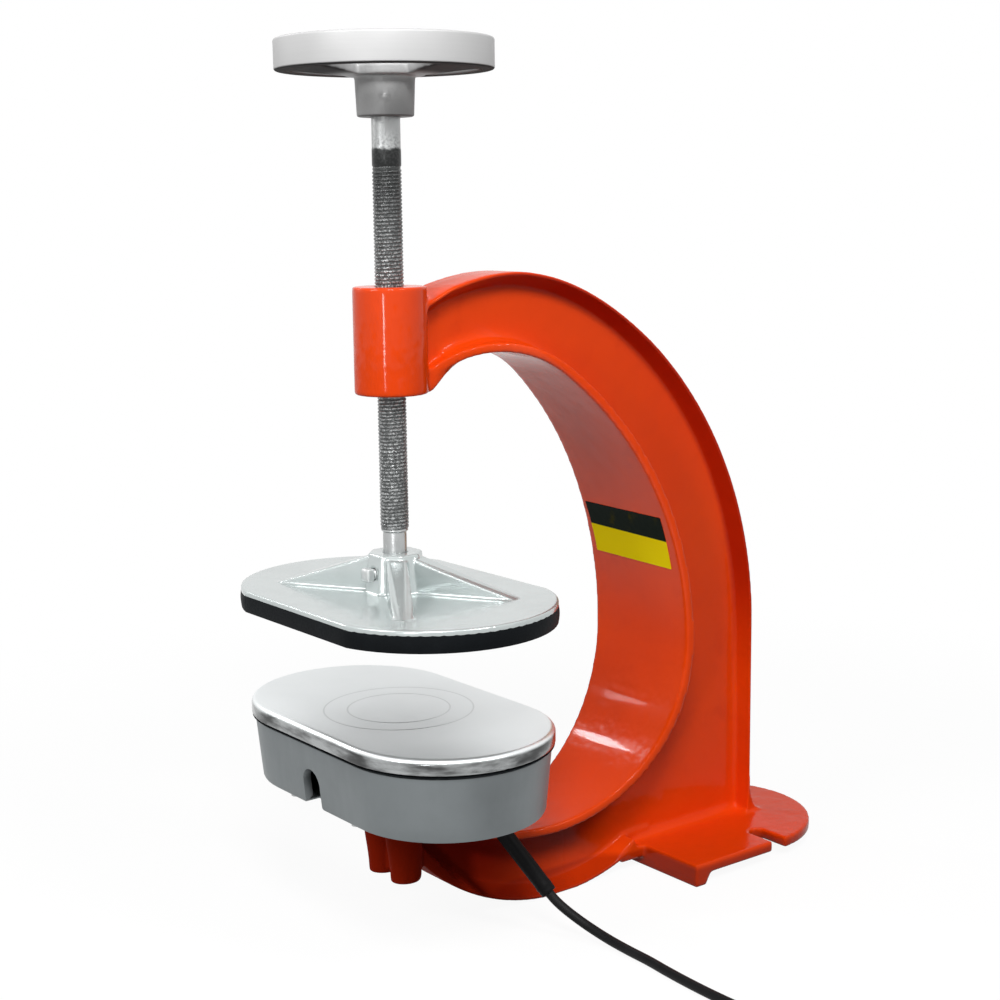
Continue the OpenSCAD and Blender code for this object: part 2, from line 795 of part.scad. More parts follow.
module plug_body() color(black) on_plug() {
    cylinder(h = boot_l, d1 = cord_d + 3, d2 = plug_d / 2);
    translate([0, 0, boot_l]) rotate_extrude()
        polygon([
            [0, -eps], [plug_d / 4, -eps], [plug_d / 2 - 2, plug_l / 3], [plug_d / 2, plug_l / 2],
            [plug_d / 2, plug_l], [0, plug_l]
        ]);
}

module plug_pins() color([0.78, 0.76, 0.70]) on_plug() translate([0, 0, boot_l + plug_l])
    for (s = [-1, 1]) translate([0, s * plug_pin_pitch / 2, 0]) {
        cylinder(h = pin_l - plug_pin_d / 2, d = plug_pin_d);
        translate([0, 0, pin_l - plug_pin_d / 2]) sphere(d = plug_pin_d);
    }

// The press screw and its handwheel

spokes = 3;
hub_draft = 1.4;
hub_flare = 4;
window_hub_gap = 7;
retainer_z = plate_top + boss_h / 2;
retainer_head_t = 6;
retainer_gap = 0.5;
rib_step = 3;
boss_floor = plate_z + plate_t / 2;
groove_r = pin_d / 2 - 2;

module thrust_disc() color(dark_steel) translate([axis_x, 0, boss_floor + clearance])
    cylinder(h = thrust_t, d = pin_d - 2 * running);

module press_screw() color(dark_steel) translate([axis_x, 0, 0]) {
    pin_foot = boss_floor + clearance + thrust_t + clearance;
    groove_h = retainer_d + 2;
    difference() {
        union() {
            translate([0, 0, pin_foot]) cylinder(h = thread_z - pin_foot, d = pin_d);
            translate([0, 0, thread_z]) cylinder(h = hub_top - thread_z, d = screw_d);
        }
        translate([0, 0, retainer_z - groove_h / 2]) difference() {
            cylinder(h = groove_h, d = screw_d);
            translate([0, 0, -1]) cylinder(h = groove_h + 2, r = groove_r);
        }
        on_cross_pin() cylinder(h = 2 * hub_d, d = cross_pin_d, center = true);
    }
}

module on_cross_pin() {
    pin_angle = 235;
    translate([0, 0, hub_z + hub_h / 2]) rotate([0, 90, pin_angle]) children();
}

module hub_pin() color(steel) translate([axis_x, 0, 0]) on_cross_pin()
    cylinder(h = hub_d - 1, d = cross_pin_d, center = true);

module handwheel() color(bright) translate([axis_x, 0, 0]) {
    wheel_r = wheel_d / 2;
    rim_in = wheel_r - rim_t;
    hub_r = hub_d / 2;
    first_spoke = 52.5;
    dish_in = hub_r + hub_flare;
    difference() {
        union() {
            translate([0, 0, hub_z]) cylinder(h = hub_h + spoke_t, r1 = hub_r - hub_draft, r2 = hub_r);
            difference() {
                translate([0, 0, hub_top]) rotate_extrude()
                    polygon([
                        [0, 0], [dish_in, 0], [rim_in + rim_t / 2, wheel_dish + lap],
                        [rim_in + rim_t / 2, wheel_dish + spoke_t], [dish_in, spoke_t], [0, spoke_t]
                    ]);
                translate([0, 0, hub_z])
                    linear_extrude(hub_h + wheel_dish + rim_h) spoke_windows(first_spoke);
            }
            translate([0, 0, rim_z]) rotate_extrude() translate([rim_in, 0]) rim_section();
        }
        translate([0, 0, hub_z - 1]) cylinder(h = hub_h + 1, d = screw_d + 2 * running);
        on_cross_pin() cylinder(h = 2 * hub_d, d = cross_pin_d, center = true);
    }
}

module rim_section() {
    translate([0, rim_edge]) square([rim_t, rim_h - 2 * rim_edge]);
    translate([rim_edge, 0]) square([rim_t - 2 * rim_edge, rim_h]);
    for (x = [rim_edge, rim_t - rim_edge], y = [rim_edge, rim_h - rim_edge])
        translate([x, y]) circle(rim_edge);
}

module spoke_windows(first) {
    pitch = 360 / spokes;
    window_out = wheel_d / 2 - rim_t / 2;
    window_in = hub_d / 2 + window_hub_gap;
    half_gap = (pitch - spoke_angle) / 2;
    for (k = [0 : spokes - 1])
        rotate(first + pitch * (k + 0.5))
            band([0, 0], window_in, window_out - window_in, -half_gap, half_gap);
}

// The pressure plate

module pressure_plate() color(bright) translate([axis_x, 0, 0]) {
    boss_r = boss_d / 2;
    rib_l = norm([rib_x, rib_y]);
    rib_angle = atan2(rib_y, rib_x);
    rib_h = boss_h - rib_step;
    difference() {
        union() {
            translate([0, 0, plate_z]) linear_extrude(plate_t) press_outline();
            translate([0, 0, plate_top - eps])
                tapered_octagon(boss_r + boss_draft, boss_r, boss_h + eps);
            for (a = [rib_angle, 180 - rib_angle, 180 + rib_angle, -rib_angle])
                translate([0, 0, plate_top - eps]) rotate(a) intersection() {
                    upright(rib_w) polygon([[0, 0], [rib_l, 0], [boss_r, rib_h], [0, rib_h]]);
                    linear_extrude(boss_h)
                        polygon([
                            [0, -rib_w / 2], [rib_l, -rib_w / 6], [rib_l, rib_w / 6], [0, rib_w / 2]
                        ]);
                }
        }
        translate([0, 0, boss_floor]) cylinder(h = boss_top, d = pin_d + 2 * running);
        translate([-boss_d, 0, retainer_z]) rotate([0, 90, 0])
            cylinder(h = boss_d, d = retainer_d + 2 * running);
    }
}

module rubber_pad() color(black) translate([axis_x, 0, pad_z]) linear_extrude(pad_t) press_outline();

module retaining_screw() color(steel) translate([axis_x, 0, retainer_z]) rotate([0, -90, 0]) {
    tip = groove_r + retainer_gap;
    head_from = boss_d / 2 + boss_draft + retainer_gap;
    translate([0, 0, tip]) cylinder(h = head_from - tip + eps, d = retainer_d);
    translate([-retainer_af / 2, -retainer_af / 2, head_from])
        cube([retainer_af, retainer_af, retainer_head_t]);
}

frame_casting();
heater_plate();
heat_seal();
heater_housing();
heating_element();
element_clamp();
insulation_board();
clamp_studs();
clamp_nuts();
thermostat();
terminal_block();
element_tails();
base_cover();
cover_screws();
mounting_bolts();
bolt_washers();
cord_gland();
cord_sleeve();
power_cord();
cord_coil();
cord_tie();
cord_tail();
plug_body();
plug_pins();
thrust_disc();
press_screw();
handwheel();
hub_pin();
pressure_plate();
rubber_pad();
retaining_screw();
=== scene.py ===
"""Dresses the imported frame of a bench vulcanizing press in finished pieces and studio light."""

from contextlib import contextmanager
from math import acos, atan2, cos, pi, radians, sin, tan

import bmesh
import bpy
import numpy as np
from bpy.props import FloatProperty, FloatVectorProperty, IntProperty, PointerProperty
from mathutils import Matrix, Vector


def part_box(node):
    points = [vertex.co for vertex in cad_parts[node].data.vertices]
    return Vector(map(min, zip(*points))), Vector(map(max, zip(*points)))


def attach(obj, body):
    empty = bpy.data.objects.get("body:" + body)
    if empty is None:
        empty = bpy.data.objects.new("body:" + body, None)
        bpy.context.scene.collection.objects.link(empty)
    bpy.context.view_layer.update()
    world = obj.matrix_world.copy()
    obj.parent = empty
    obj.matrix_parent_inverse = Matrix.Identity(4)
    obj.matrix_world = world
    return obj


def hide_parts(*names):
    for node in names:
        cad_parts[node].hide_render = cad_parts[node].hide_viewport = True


bl_info = {
    "name": "Bench vulcanizing press",
    "version": (1, 0, 0),
    "blender": (4, 5, 0),
    "location": "3D View > Sidebar > Vulcanizer",
    "description": "Builds the finished pieces of a bench vulcanizing press on its packed frame",
    "category": "Add Mesh",
}

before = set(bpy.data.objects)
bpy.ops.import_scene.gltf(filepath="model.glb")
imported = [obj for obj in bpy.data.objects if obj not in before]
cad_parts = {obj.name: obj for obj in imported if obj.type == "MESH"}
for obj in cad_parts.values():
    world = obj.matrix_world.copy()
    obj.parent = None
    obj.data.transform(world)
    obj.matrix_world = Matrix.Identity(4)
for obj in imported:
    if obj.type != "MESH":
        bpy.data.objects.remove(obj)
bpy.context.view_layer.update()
MM = 0.001


def middle(node):
    """The middle of a CAD node's box."""
    low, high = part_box(node)
    return (low + high) / 2


AXIS_X = middle("press_screw").x
ON_AXIS = Matrix.Translation((AXIS_X, 0, 0))


# Sizes and colours

def length(name, description, millimetres):
    return FloatProperty(
        name=name, description=description, default=millimetres * MM, unit="LENGTH", precision=4
    )


def angle(name, description, degrees):
    return FloatProperty(name=name, description=description, default=radians(degrees), subtype="ANGLE")


def share(name, description, value):
    return FloatProperty(
        name=name, description=description, default=value, min=0, max=1, subtype="FACTOR"
    )


def colour(name, description, red, green, blue):
    return FloatVectorProperty(
        name=name, description=description, default=(red, green, blue),
        min=0, max=1, size=3, subtype="COLOR"
    )


class CastingSizes(bpy.types.PropertyGroup):
    """Sizes of the cast frame, the cast plate and the handwheel."""

    reach: length("Throat reach", "From the screw to the back of the throat", 235)
    mid_z: length("Throat middle", "Height of the deepest point of the throat", 190)
    low_r: length("Throat low radius", "Radius of the lower arc of the throat", 129)
    back_r: length("Throat back radius", "Radius of the rear arc of the throat", 275)
    top_r: length("Throat top radius", "Radius of the upper arc of the throat", 88)
    throat_turn: angle("Throat turn", "Where the rear arc of the throat turns into the upper one", 51)
    inner_t: length("Throat flange", "Thickness of the flange round the throat", 7)
    inner_half: length("Throat flange half", "Half width of that flange at the back", 54)
    inner_taper: share("Throat flange taper", "Loss of half width per unit of X", 0.2)
    spine_depth: length("Spine depth", "From the back of the throat to the back of the spine", 106)
    arch_r: length("Arch radius", "Radius of the back of the arch", 315)
    arch_turn: angle("Arch turn", "Where the back of the arch turns into its crown", 48.3)
    crown_depth: length("Crown depth", "From the top of the throat to the top of the arch", 52)
    neck_r: length("Neck radius", "Radius of the neck", 130)
    arm_r: length("Arm radius", "Radius of the underside of the arm", 178)
    arm_low_x: length("Arm low point", "From the screw to the lowest point of the arm", 135)
    outer_t: length("Outer flange", "Thickness of the outer flange", 9)
    outer_half: length("Outer flange half", "Half width of the outer flange", 20)
    edge_t: length("Flange edge", "Thickness of the outer flange at its edge", 2.4)
    root_arch: length("Arch root", "Depth of the outer flange's slope at the web of the arch", 10)
    root_spine: length("Spine root", "Depth of that slope at the foot of the spine", 5)
    edge_growth: length("Edge growth", "How far the outer flange stands out over its solid", 1.4)
    crown_growth: length("Crown growth", "How far the crown stands out more than the rest", 4.6)
    collar_r: length("Collar radius", "Radius of the screw collar", 26)
    rim_h: length("Rim height", "Height of the handwheel's rim", 21)
    rim_t: length("Rim thickness", "Thickness of the handwheel's rim", 11)
    web_t: length("Web", "Thickness of the web", 12)
    lug_back: length("Lug back", "From the screw's axis back to the lugs", 8)
    lug_side: length("Lug side", "From the middle plane to a lug", 14)
    lug_r: length("Lug radius", "Radius of a lug at its root", 13.5)
    lug_low: length("Lug low", "Height of the lower end of a lug", 45)
    cove: length("Cove", "Radius of the hollow between web and flange", 9)
    foot_top: length("Foot top", "Height of the top of the foot", 18)
    foot_front: length("Foot front", "From the screw to the front of the foot", 222)
    frame_voxel: length("Frame voxel", "Voxel of the frame's skin", 1.2)
    plate_voxel: length("Plate voxel", "Voxel of the pressure plate's skin", 0.8)
    wheel_voxel: length("Wheel voxel", "Voxel of the handwheel's skin", 0.8)
    smoothing: IntProperty(name="Smoothing", description="Rounds of smoothing on cast skins", default=14)
    plate_smoothing: IntProperty(
        name="Plate smoothing", description="Rounds of smoothing on the pressure plate", default=6
    )
    rib_x: length("Rib X", "X of a rib's tip on the pressure plate", 49)
    rib_y: length("Rib Y", "Y of a rib's tip on the pressure plate", 81)
    rib_half: length("Rib half", "Half width of a rib near the boss", 7.6)
    boss_r: length("Boss radius", "Where the ribs leave the boss", 15)
    sticker_low: angle("Sticker low", "Angle of the sticker's lower edge on the rear arc", 12.5)
    sticker_high: angle("Sticker high", "Angle of the sticker's upper edge on the rear arc", 21.6)
    sticker_slant: angle("Sticker slant", "Drop of the sticker from its far to its near edge", 0.5)
    sticker_far: length("Sticker far", "Y of the sticker's far edge", 45)
    sticker_near: length("Sticker near", "Y of the sticker's near edge", -42)


class FittingSizes(bpy.types.PropertyGroup):
    """Sizes of the turned, pressed and moulded pieces."""

    pitch: length("Thread pitch", "Pitch of the press screw", 2.5)
    thread_low: length("Thread low", "Height of the lower end of the thread", 300.5)
    thread_high: length("Thread high", "Height of the upper end of the thread", 556.5)
    thread_r: length("Thread radius", "Outer radius of the thread", 10.1)
    thread_depth: length("Thread depth", "Depth of the thread", 0.6)
    platen_edge: length("Platen edge", "Radius of the upper edge of the platen", 4)
    circle_in: length("Inner circle", "Radius of the inner turned circle on the platen", 37)
    circle_out: length("Outer circle", "Radius of the outer turned circle on the platen", 54)
    vent_w: length("Vent width", "Width of the vent in the housing", 21.5)
    vent_h: length("Vent height", "Height of the vent in the housing", 28)
    vent_y: length("Vent offset", "Y of the vent's middle", 4.8)
    wall: length("Housing wall", "Wall of the housing", 3.5)
    cord_d: length("Lead diameter", "Diameter of the mains lead", 7)
    coil_r: length("Coil radius", "Middle of the outermost turn of the coil", 53.4)
    coil_in: length("Coil inner radius", "Middle of the innermost turn of the coil", 30.6)
    coil_step: length("Coil step", "From one turn of the coil to the next", 7.6)


class FinishColours(bpy.types.PropertyGroup):
    """Colours of the finishes."""

    enamel: colour("Enamel", "Orange red enamel of the frame", 0.80, 0.060, 0.003)
    enamel_deep: colour("Deep enamel", "Thicker, redder enamel in the hollows", 0.66, 0.026, 0.002)
    # Painted shade on the slope of the outer flange.
    enamel_slope_shade: colour("Painted slope shade", "Enamel on the slope of the outer flange", 0.40, 0.008, 0.002)
    # Painted shade: the shadows of the throat flange and the heater, and the shade near the floor.
    enamel_painted_shade: colour("Painted enamel shade", "Enamel darkened for painted shade", 0.20, 0.004, 0.001)
    silver: colour("Silver", "Turned handwheel", 0.60, 0.60, 0.60)
    plate: colour("Plate", "Bright casting of the pressure plate", 0.54, 0.585, 0.58)
    polish: colour("Polish", "Polished platen", 0.86, 0.89, 0.895)
    housing: colour("Housing", "Satin grey housing", 0.205, 0.225, 0.232)
    rubber: colour("Rubber", "Black pad", 0.009, 0.011, 0.013)
    thread: colour("Thread", "Greasy thread", 0.085, 0.088, 0.088)
    steel: colour("Steel", "Turned steel", 0.46, 0.47, 0.47)
    black: colour("Black", "Black plastic and lead", 0.014, 0.014, 0.015)
    yellow: colour("Yellow", "Lower field of the blank sticker", 0.95, 0.76, 0.005)
    dark: colour("Dark", "Upper field of the blank sticker", 0.003, 0.007, 0.004)


# Shading

class Wire:
    """An output socket of a finish; arithmetic on it adds Math nodes."""

    def __init__(self, finish, socket):
        self.finish = finish
        self.socket = socket

    def math(self, operation, first, second):
        return self.finish.node("Math", {"operation": operation}, {0: first, 1: second})

    def __add__(self, other):
        return self.math("ADD", self, other)

    __radd__ = __add__

    def __sub__(self, other):
        return self.math("SUBTRACT", self, other)

    def __rsub__(self, other):
        return self.math("SUBTRACT", other, self)

    def __mul__(self, other):
        return self.math("MULTIPLY", self, other)

    __rmul__ = __mul__

    def __pow__(self, other):
        return self.math("POWER", self, other)

    def __abs__(self):
        return self.math("ABSOLUTE", self, 0.0)


class Finish:
    """A material in the making."""

    def __init__(self, name, tree=None):
        if tree is None:
            self.material = bpy.data.materials.new(name)
            self.material.use_nodes = True
            tree = self.material.node_tree
        self.tree = tree
        self.tree.nodes.clear()

    def node(self, kind, settings=None, sockets=None, out=0):
        node = self.tree.nodes.new("ShaderNode" + kind)
        for key, value in (settings or {}).items():
            setattr(node, key, value)
        for key, value in (sockets or {}).items():
            if isinstance(value, Wire):
                self.tree.links.new(value.socket, node.inputs[key])
            else:
                node.inputs[key].default_value = value
        return Wire(self, node.outputs[out])

    def place(self):
        return self.node("TexCoord", out="Object")

    def axes(self):
        """X from the screw's axis, Y and Z of the place."""
        place = self.place()
        parts = [self.node("SeparateXYZ", {}, {0: place}, out) for out in "XYZ"]
        return parts[0] - AXIS_X, parts[1], parts[2]

    def noise(self, scale, detail=3.0, vector=None):
        sockets = {"Vector": vector or self.place(), "Scale": scale, "Detail": detail}
        return self.node("TexNoise", {}, sockets, "Fac")

    def vector(self, x, y, z):
        return self.node("CombineXYZ", {}, {"X": x, "Y": y, "Z": z})

    def ramp(self, value, low, high):
        sockets = {"Value": value, "From Min": low, "From Max": high}
        return self.node("MapRange", {"interpolation_type": "SMOOTHSTEP"}, sockets)

    def fall(self, value, low, high):
        return 1.0 - self.ramp(value, low, high)

    def span(self, x, y):
        return (x * x + y * y) ** 0.5

    def blend(self, amount, first, second):
        sockets = {0: amount, 6: opaque(first), 7: opaque(second)}
        return self.node("Mix", {"data_type": "RGBA"}, sockets, 2)

    def layers(self, base, *coats):
        """Colours over a base, each by its amount; a number stands for a tint of the base."""
        shade = base
        for amount, over in coats:
            shade = self.blend(amount, shade, tint(base, over) if isinstance(over, float) else over)
        return shade

    def bump(self, height, distance):
        sockets = {"Height": height, "Distance": distance, "Strength": 1.0}
        return self.node("Bump", {}, sockets)

    def close(self, shader, kind="OutputMaterial"):
        end = self.tree.nodes.new("ShaderNode" + kind)
        self.tree.links.new(shader.socket, end.inputs["Surface"])

    def surface(self, sockets):
        self.close(self.node("BsdfPrincipled", {}, sockets))
        return self.material


def opaque(value):
    return value if isinstance(value, Wire) else (*value[:3], 1.0)


def tint(value, factor):
    return tuple(min(1.0, part * factor) for part in value)


def enamel_finish(colours, s):
    """Glossy enamel with painted shade on the slope of the outer flange, painted shadows of the throat
    flange and of the heater, and painted shade near the floor; rough and dull in the heater's shadow.
    """
    paint = Finish("enamel")
    x, y, z = paint.axes()
    arcs = Arcs(s)
    growth = paint.ramp(x, 45 * MM, 110 * MM) * paint.fall(x, 120 * MM, 225 * MM)
    growth = growth * s.crown_growth + s.edge_growth

    def beyond(centre, radius):
        return paint.span(x - centre[0], z - centre[1]) - radius

    def slope(centre, radius):
        depth = growth - beyond(centre, radius)
        return paint.ramp(depth, 0.3 * MM, 1.8 * MM) * paint.fall(depth, 7.5 * MM, 13 * MM)

    # The slope of the outer flange on the arch and on the crown, where shade is painted.
    past = z - arcs.crown_c[1] - (x - arcs.crown_c[0]) * tan(s.arch_turn)
    past = paint.ramp(past, -10 * MM, 10 * MM)
    arch = slope(arcs.arch_c, s.arch_r) * (1.0 - past) * paint.ramp(z, 120 * MM, 240 * MM)
    crown = slope(arcs.crown_c, arcs.crown_r) * past * paint.ramp(x, 40 * MM, 90 * MM)
    # Painted shadow of the throat flange on the web beside its lower arc.
    gap = beyond(arcs.low_c, s.low_r + s.inner_t)
    under = paint.ramp(gap, 0.0, 3 * MM) * paint.fall(gap, 6 * MM, 40 * MM)
    under = under * paint.fall(z, 60 * MM, 160 * MM)
    # Painted shadow of the heater on the arm and lugs; the enamel there is also rougher and has less
    # coat.
    heater_shadow = paint.fall(x, 60 * MM, 170 * MM) * paint.fall(z, 75 * MM, 125 * MM)
    heater_shadow = heater_shadow * paint.ramp(gap, -3 * MM, 0.0)
    # Painted shade on the lowest faces, near the floor.
    low_shade = paint.fall(z, 13 * MM, 17.5 * MM)
    throat = paint.fall(beyond(arcs.back_c, s.back_r), MM, 3 * MM)
    throat = throat * paint.ramp(x, 60 * MM, 100 * MM) * paint.ramp(z, 180 * MM, 260 * MM)
    collar = paint.fall(paint.span(x, y), s.collar_r + 0.6 * MM, s.collar_r + 2 * MM)
    collar = collar * paint.ramp(paint.noise(160.0, 4.0) + (z - 435 * MM) * 6.0, 0.35, 0.55)
    pool = paint.ramp(paint.noise(6.0, 2.0), 0.30, 0.72)
    grime = paint.ramp(paint.noise(34.0, 5.0), 0.58, 0.80)
    waves = paint.noise(48.0, 2.0) + paint.noise(190.0, 2.0) * 0.22
    return paint.surface({
        "Base Color": paint.layers(
            colours.enamel,
            (pool * 0.28, colours.enamel_deep),
            (grime * 0.18, tint(colours.enamel_deep, 0.7)),
            ((arch + crown) * 0.75, colours.enamel_slope_shade),
            (under * 0.80, colours.enamel_painted_shade),
            (heater_shadow * 0.80, colours.enamel_painted_shade),
            (low_shade * 0.45, colours.enamel_painted_shade),
        ),
        "Roughness": 0.17 + 0.12 * paint.noise(26.0, 4.0) + 0.45 * heater_shadow,
        "Normal": paint.bump(waves, 0.0008),
        "Specular IOR Level": 0.05,
        "Coat Weight": 0.10 * (1.0 - heater_shadow) + 0.26 * collar + 0.30 * throat,
        "Coat Roughness": 0.05,
    })


def turned_metal(name, base, rough, lines, metal, mottle):
    """Metal with fine lines round the screw's axis."""
    paint = Finish(name)
    x, y, z = paint.axes()
    radius = paint.span(x, y)
    marks = paint.noise(lines, 3.0, paint.vector(radius, radius * 0.3, z))
    cloud = paint.noise(45.0, 4.0)
    return paint.surface({
        "Base Color": paint.layers(
            base,
            (paint.ramp(cloud, 0.40, 0.72) * mottle, 0.55),
            (paint.ramp(marks, 0.35, 0.75) * 0.14, 1.25),
        ),
        "Metallic": metal,
        "Roughness": rough + 0.12 * marks + 0.10 * cloud,
        "Normal": paint.bump(marks, 0.00006),
    })


def rim_finish(colours, outer, low):
    """The turned rim, with painted shade on its inside and a painted shadow line along its lower edge.
    """
    paint = Finish("rim_silver")
    x, y, z = paint.axes()
    radius = paint.span(x, y)
    # Painted shade on the inside of the rim, which is also made rougher.
    inside = paint.fall(radius, outer - 9.5 * MM, outer - 7.5 * MM)
    # Painted shadow line along the rim's lower edge, where the metal is also made dull.
    under = paint.fall(z, low + 0.4 * MM, low + 1.3 * MM)
    marks = paint.noise(1500.0, 3.0, paint.vector(radius, radius * 0.3, z))
    cloud = paint.noise(22.0, 4.0)
    return paint.surface({
        "Base Color": paint.layers(
            colours.silver,
            (paint.ramp(cloud, 0.35, 0.75) * 0.16, 0.72),
            (paint.ramp(marks, 0.40, 0.75) * 0.10, 1.2),
            (under, 0.08),
            (inside, 0.40),
        ),
        "Metallic": 0.20 * (1.0 - under),
        "Roughness": 0.36 + 0.10 * marks + 0.12 * cloud + 0.15 * inside + 0.40 * under,
        "Normal": paint.bump(marks, 0.00004),
        "Specular IOR Level": 0.2,
    })


def spoke_finish(colours, hub_low, hub_top):
    """Sand cast spokes, lighter than the hub, with painted shade on their downward faces and a darker
    lower edge on the hub.
    """
    paint = Finish("spoke_silver")
    x, y, z = paint.axes()
    silver = colours.silver
    grain = paint.noise(520.0, 3.0)
    dust = paint.ramp(paint.noise(70.0, 5.0), 0.45, 0.75)
    hub = paint.fall(z, hub_top - 2 * MM, hub_top + 1 * MM)
    # The hub is darker along its lower edge.
    lower = paint.fall(z, hub_low + 0.6 * MM, hub_low + 1.6 * MM)
    # Painted shade on the downward faces of the spokes towards the rim.
    normal = paint.node("NewGeometry", {}, {}, "Normal")
    down = paint.ramp(paint.node("SeparateXYZ", {}, {0: normal}, "Z") * -1.0, 0.0, 0.5)
    underside_shade = down * paint.ramp(paint.span(x, y), 27 * MM, 46 * MM)
    return paint.surface({
        "Base Color": paint.layers(
            tint(silver, 0.78),
            (dust * 0.35, tint(silver, 0.52)),
            (hub * 0.25, tint(silver, 0.50)),
            (lower * 0.8, tint(silver, 0.10)),
            (underside_shade * 0.88, tint(silver, 0.07)),
        ),
        "Metallic": 0.30 * (1.0 - underside_shade),
        "Roughness": 0.42 + 0.16 * grain + 0.40 * underside_shade,
        "Normal": paint.bump(grain, 0.0002),
        "Specular IOR Level": 0.25,
    })


def cast_silver(name, base, rough, metal):
    """Bright smooth casting with a faint swell and dusty patches."""
    paint = Finish(name)
    swell = paint.noise(26.0, 2.0) + paint.noise(420.0, 3.0) * 0.03
    dust = paint.ramp(paint.noise(42.0, 5.0), 0.46, 0.80)
    shade = paint.blend(dust * 0.22, base, tint(base, 0.66))
    return paint.surface({
        "Base Color": shade,
        "Metallic": metal,
        "Roughness": rough + 0.14 * paint.noise(60.0, 4.0),
        "Normal": paint.bump(swell, 0.0006),
        "Coat Weight": 0.20,
        "Coat Roughness": 0.08,
    })


def platen_finish(colours, sizes, high):
    """Ground top with two faint circles, and a polished edge with painted dark reflections on its lower
    part.
    """
    paint = Finish("platen_polish")
    x, y, z = paint.axes()
    radius = paint.span(x, y)
    faint = 0.0
    for circle in (sizes.circle_in, sizes.circle_out):
        faint = paint.fall(abs(radius - circle), 0.3 * MM, 0.9 * MM) + faint
    grain = paint.noise(160.0, 5.0, paint.vector(x * 0.5, y * 2.0, z))
    cloud = paint.noise(14.0, 4.0)
    # Painted dark reflections on the lower part of the edge, broken into streaks; the edge is also made
    # glossier there.
    below = paint.fall(z, high - 3.4 * MM, high - 1.2 * MM)
    streak = paint.ramp(paint.noise(26.0, 4.0, paint.vector(x, y, z * 4.0)), 0.36, 0.66)
    return paint.surface({
        "Base Color": paint.layers(
            colours.polish,
            (paint.ramp(cloud, 0.35, 0.7) * 0.30, 0.92),
            (faint * 0.45, 0.55),
            (below * (0.55 + streak * 0.45), 0.07),
        ),
        "Metallic": 0.80,
        "Roughness": 0.30 + 0.06 * grain - below * 0.14,
        "Normal": paint.bump(grain, 0.000006),
    })


def satin_metal(name, base, rough):
    """Plain satin metal, slightly drawn out in Z."""
    paint = Finish(name)
    x, y, z = paint.axes()
    drawn = paint.noise(120.0, 4.0, paint.vector(x, y, z * 0.15))
    cloud = paint.noise(24.0, 4.0)
    shade = paint.blend(paint.ramp(cloud, 0.35, 0.72) * 0.40, base, tint(base, 0.72))
    return paint.surface({
        "Base Color": shade,
        "Metallic": 0.72,
        "Roughness": rough + 0.14 * drawn + 0.08 * cloud,
        "Normal": paint.bump(drawn * 0.4 + paint.noise(500.0, 2.0) * 0.3, 0.00025),
    })


def dull_finish(name, base, rough, grain, depth, light=1.8, gloss=0.5):
    """Rubber, plastic, board and porcelain."""
    paint = Finish(name)
    fine = paint.noise(grain, 3.0)
    dust = paint.ramp(paint.noise(55.0, 5.0), 0.48, 0.80)
    return paint.surface({
        "Base Color": paint.blend(dust * 0.5, base, tint(base, light)),
        "Roughness": rough + 0.18 * fine,
        "Normal": paint.bump(fine, depth),
        "Specular IOR Level": gloss,
    })


def thread_finish(colours, sizes):
    """Grey worn thread, mottled with grease and darkest at its upper end."""
    paint = Finish("greasy_thread")
    x, y, z = paint.axes()
    top = sizes.thread_high
    crest = paint.ramp(paint.span(x, y), sizes.thread_r - sizes.thread_depth, sizes.thread_r)
    mottle = paint.ramp(paint.noise(620.0, 3.0), 0.44, 0.60)
    grease = paint.ramp(paint.noise(38.0, 4.0), 0.38, 0.70)
    upper = paint.ramp(z, top - 60 * MM, top - 8 * MM)
    return paint.surface({
        "Base Color": paint.layers(
            colours.thread,
            (0.12 + crest * mottle * 0.78, colours.steel),
            (grease * 0.45, colours.thread),
            (upper * 0.80, 0.55),
        ),
        "Metallic": 0.70,
        "Roughness": 0.22 + 0.22 * grease,
        "Normal": paint.bump(paint.noise(700.0, 3.0), 0.0006),
        "Specular IOR Level": 0.3,
    })


def shank_finish(colours, border):
    """Bright shank, smeared dark where the thread ends."""
    paint = Finish("shank_steel")
    z = paint.axes()[2]
    ragged = z + (paint.noise(210.0, 4.0) - 0.5) * 9 * MM
    clean = paint.ramp(ragged, border - 1.5 * MM, border + 1.5 * MM)
    fine = paint.ramp(paint.noise(620.0, 3.0), 0.44, 0.62)
    spots = fine * paint.fall(z, border + 2 * MM, border + 15 * MM)
    lines = paint.noise(1500.0, 2.0, paint.vector(0.0, 0.0, z))
    shade = paint.blend(spots * 0.55, colours.steel, tint(colours.steel, 0.35))
    smear = paint.blend(fine * 0.30, tint(colours.thread, 0.35), colours.thread)
    return paint.surface({
        "Base Color": paint.blend(clean, smear, shade),
        "Metallic": 0.70,
        "Roughness": 0.28 + 0.15 * lines,
        "Normal": paint.bump(lines + fine * 0.5, 0.00008),
        "Specular IOR Level": 0.3,
    })


def sticker_finish(colours, border, slope):
    """Two plain fields; the border between them drops towards the near edge."""
    paint = Finish("blank_sticker")
    y, z = paint.axes()[1:]
    upper = paint.ramp(z - y * slope, border - 0.3 * MM, border + 0.3 * MM)
    scuff = paint.ramp(paint.noise(70.0, 5.0), 0.56, 0.78)
    field = paint.blend(upper, colours.yellow, colours.dark)
    return paint.surface({
        "Base Color": paint.blend(scuff * 0.08, field, tint(colours.yellow, 0.45)),
        "Roughness": 0.44 + 0.2 * scuff,
        "Normal": paint.bump(paint.noise(160.0, 2.0), 0.0002),
        "Specular IOR Level": 0.03,
    })


# Mesh making

def add_object(name, data):
    made = bpy.data.objects.new(name, data)
    bpy.context.scene.collection.objects.link(made)
    return made


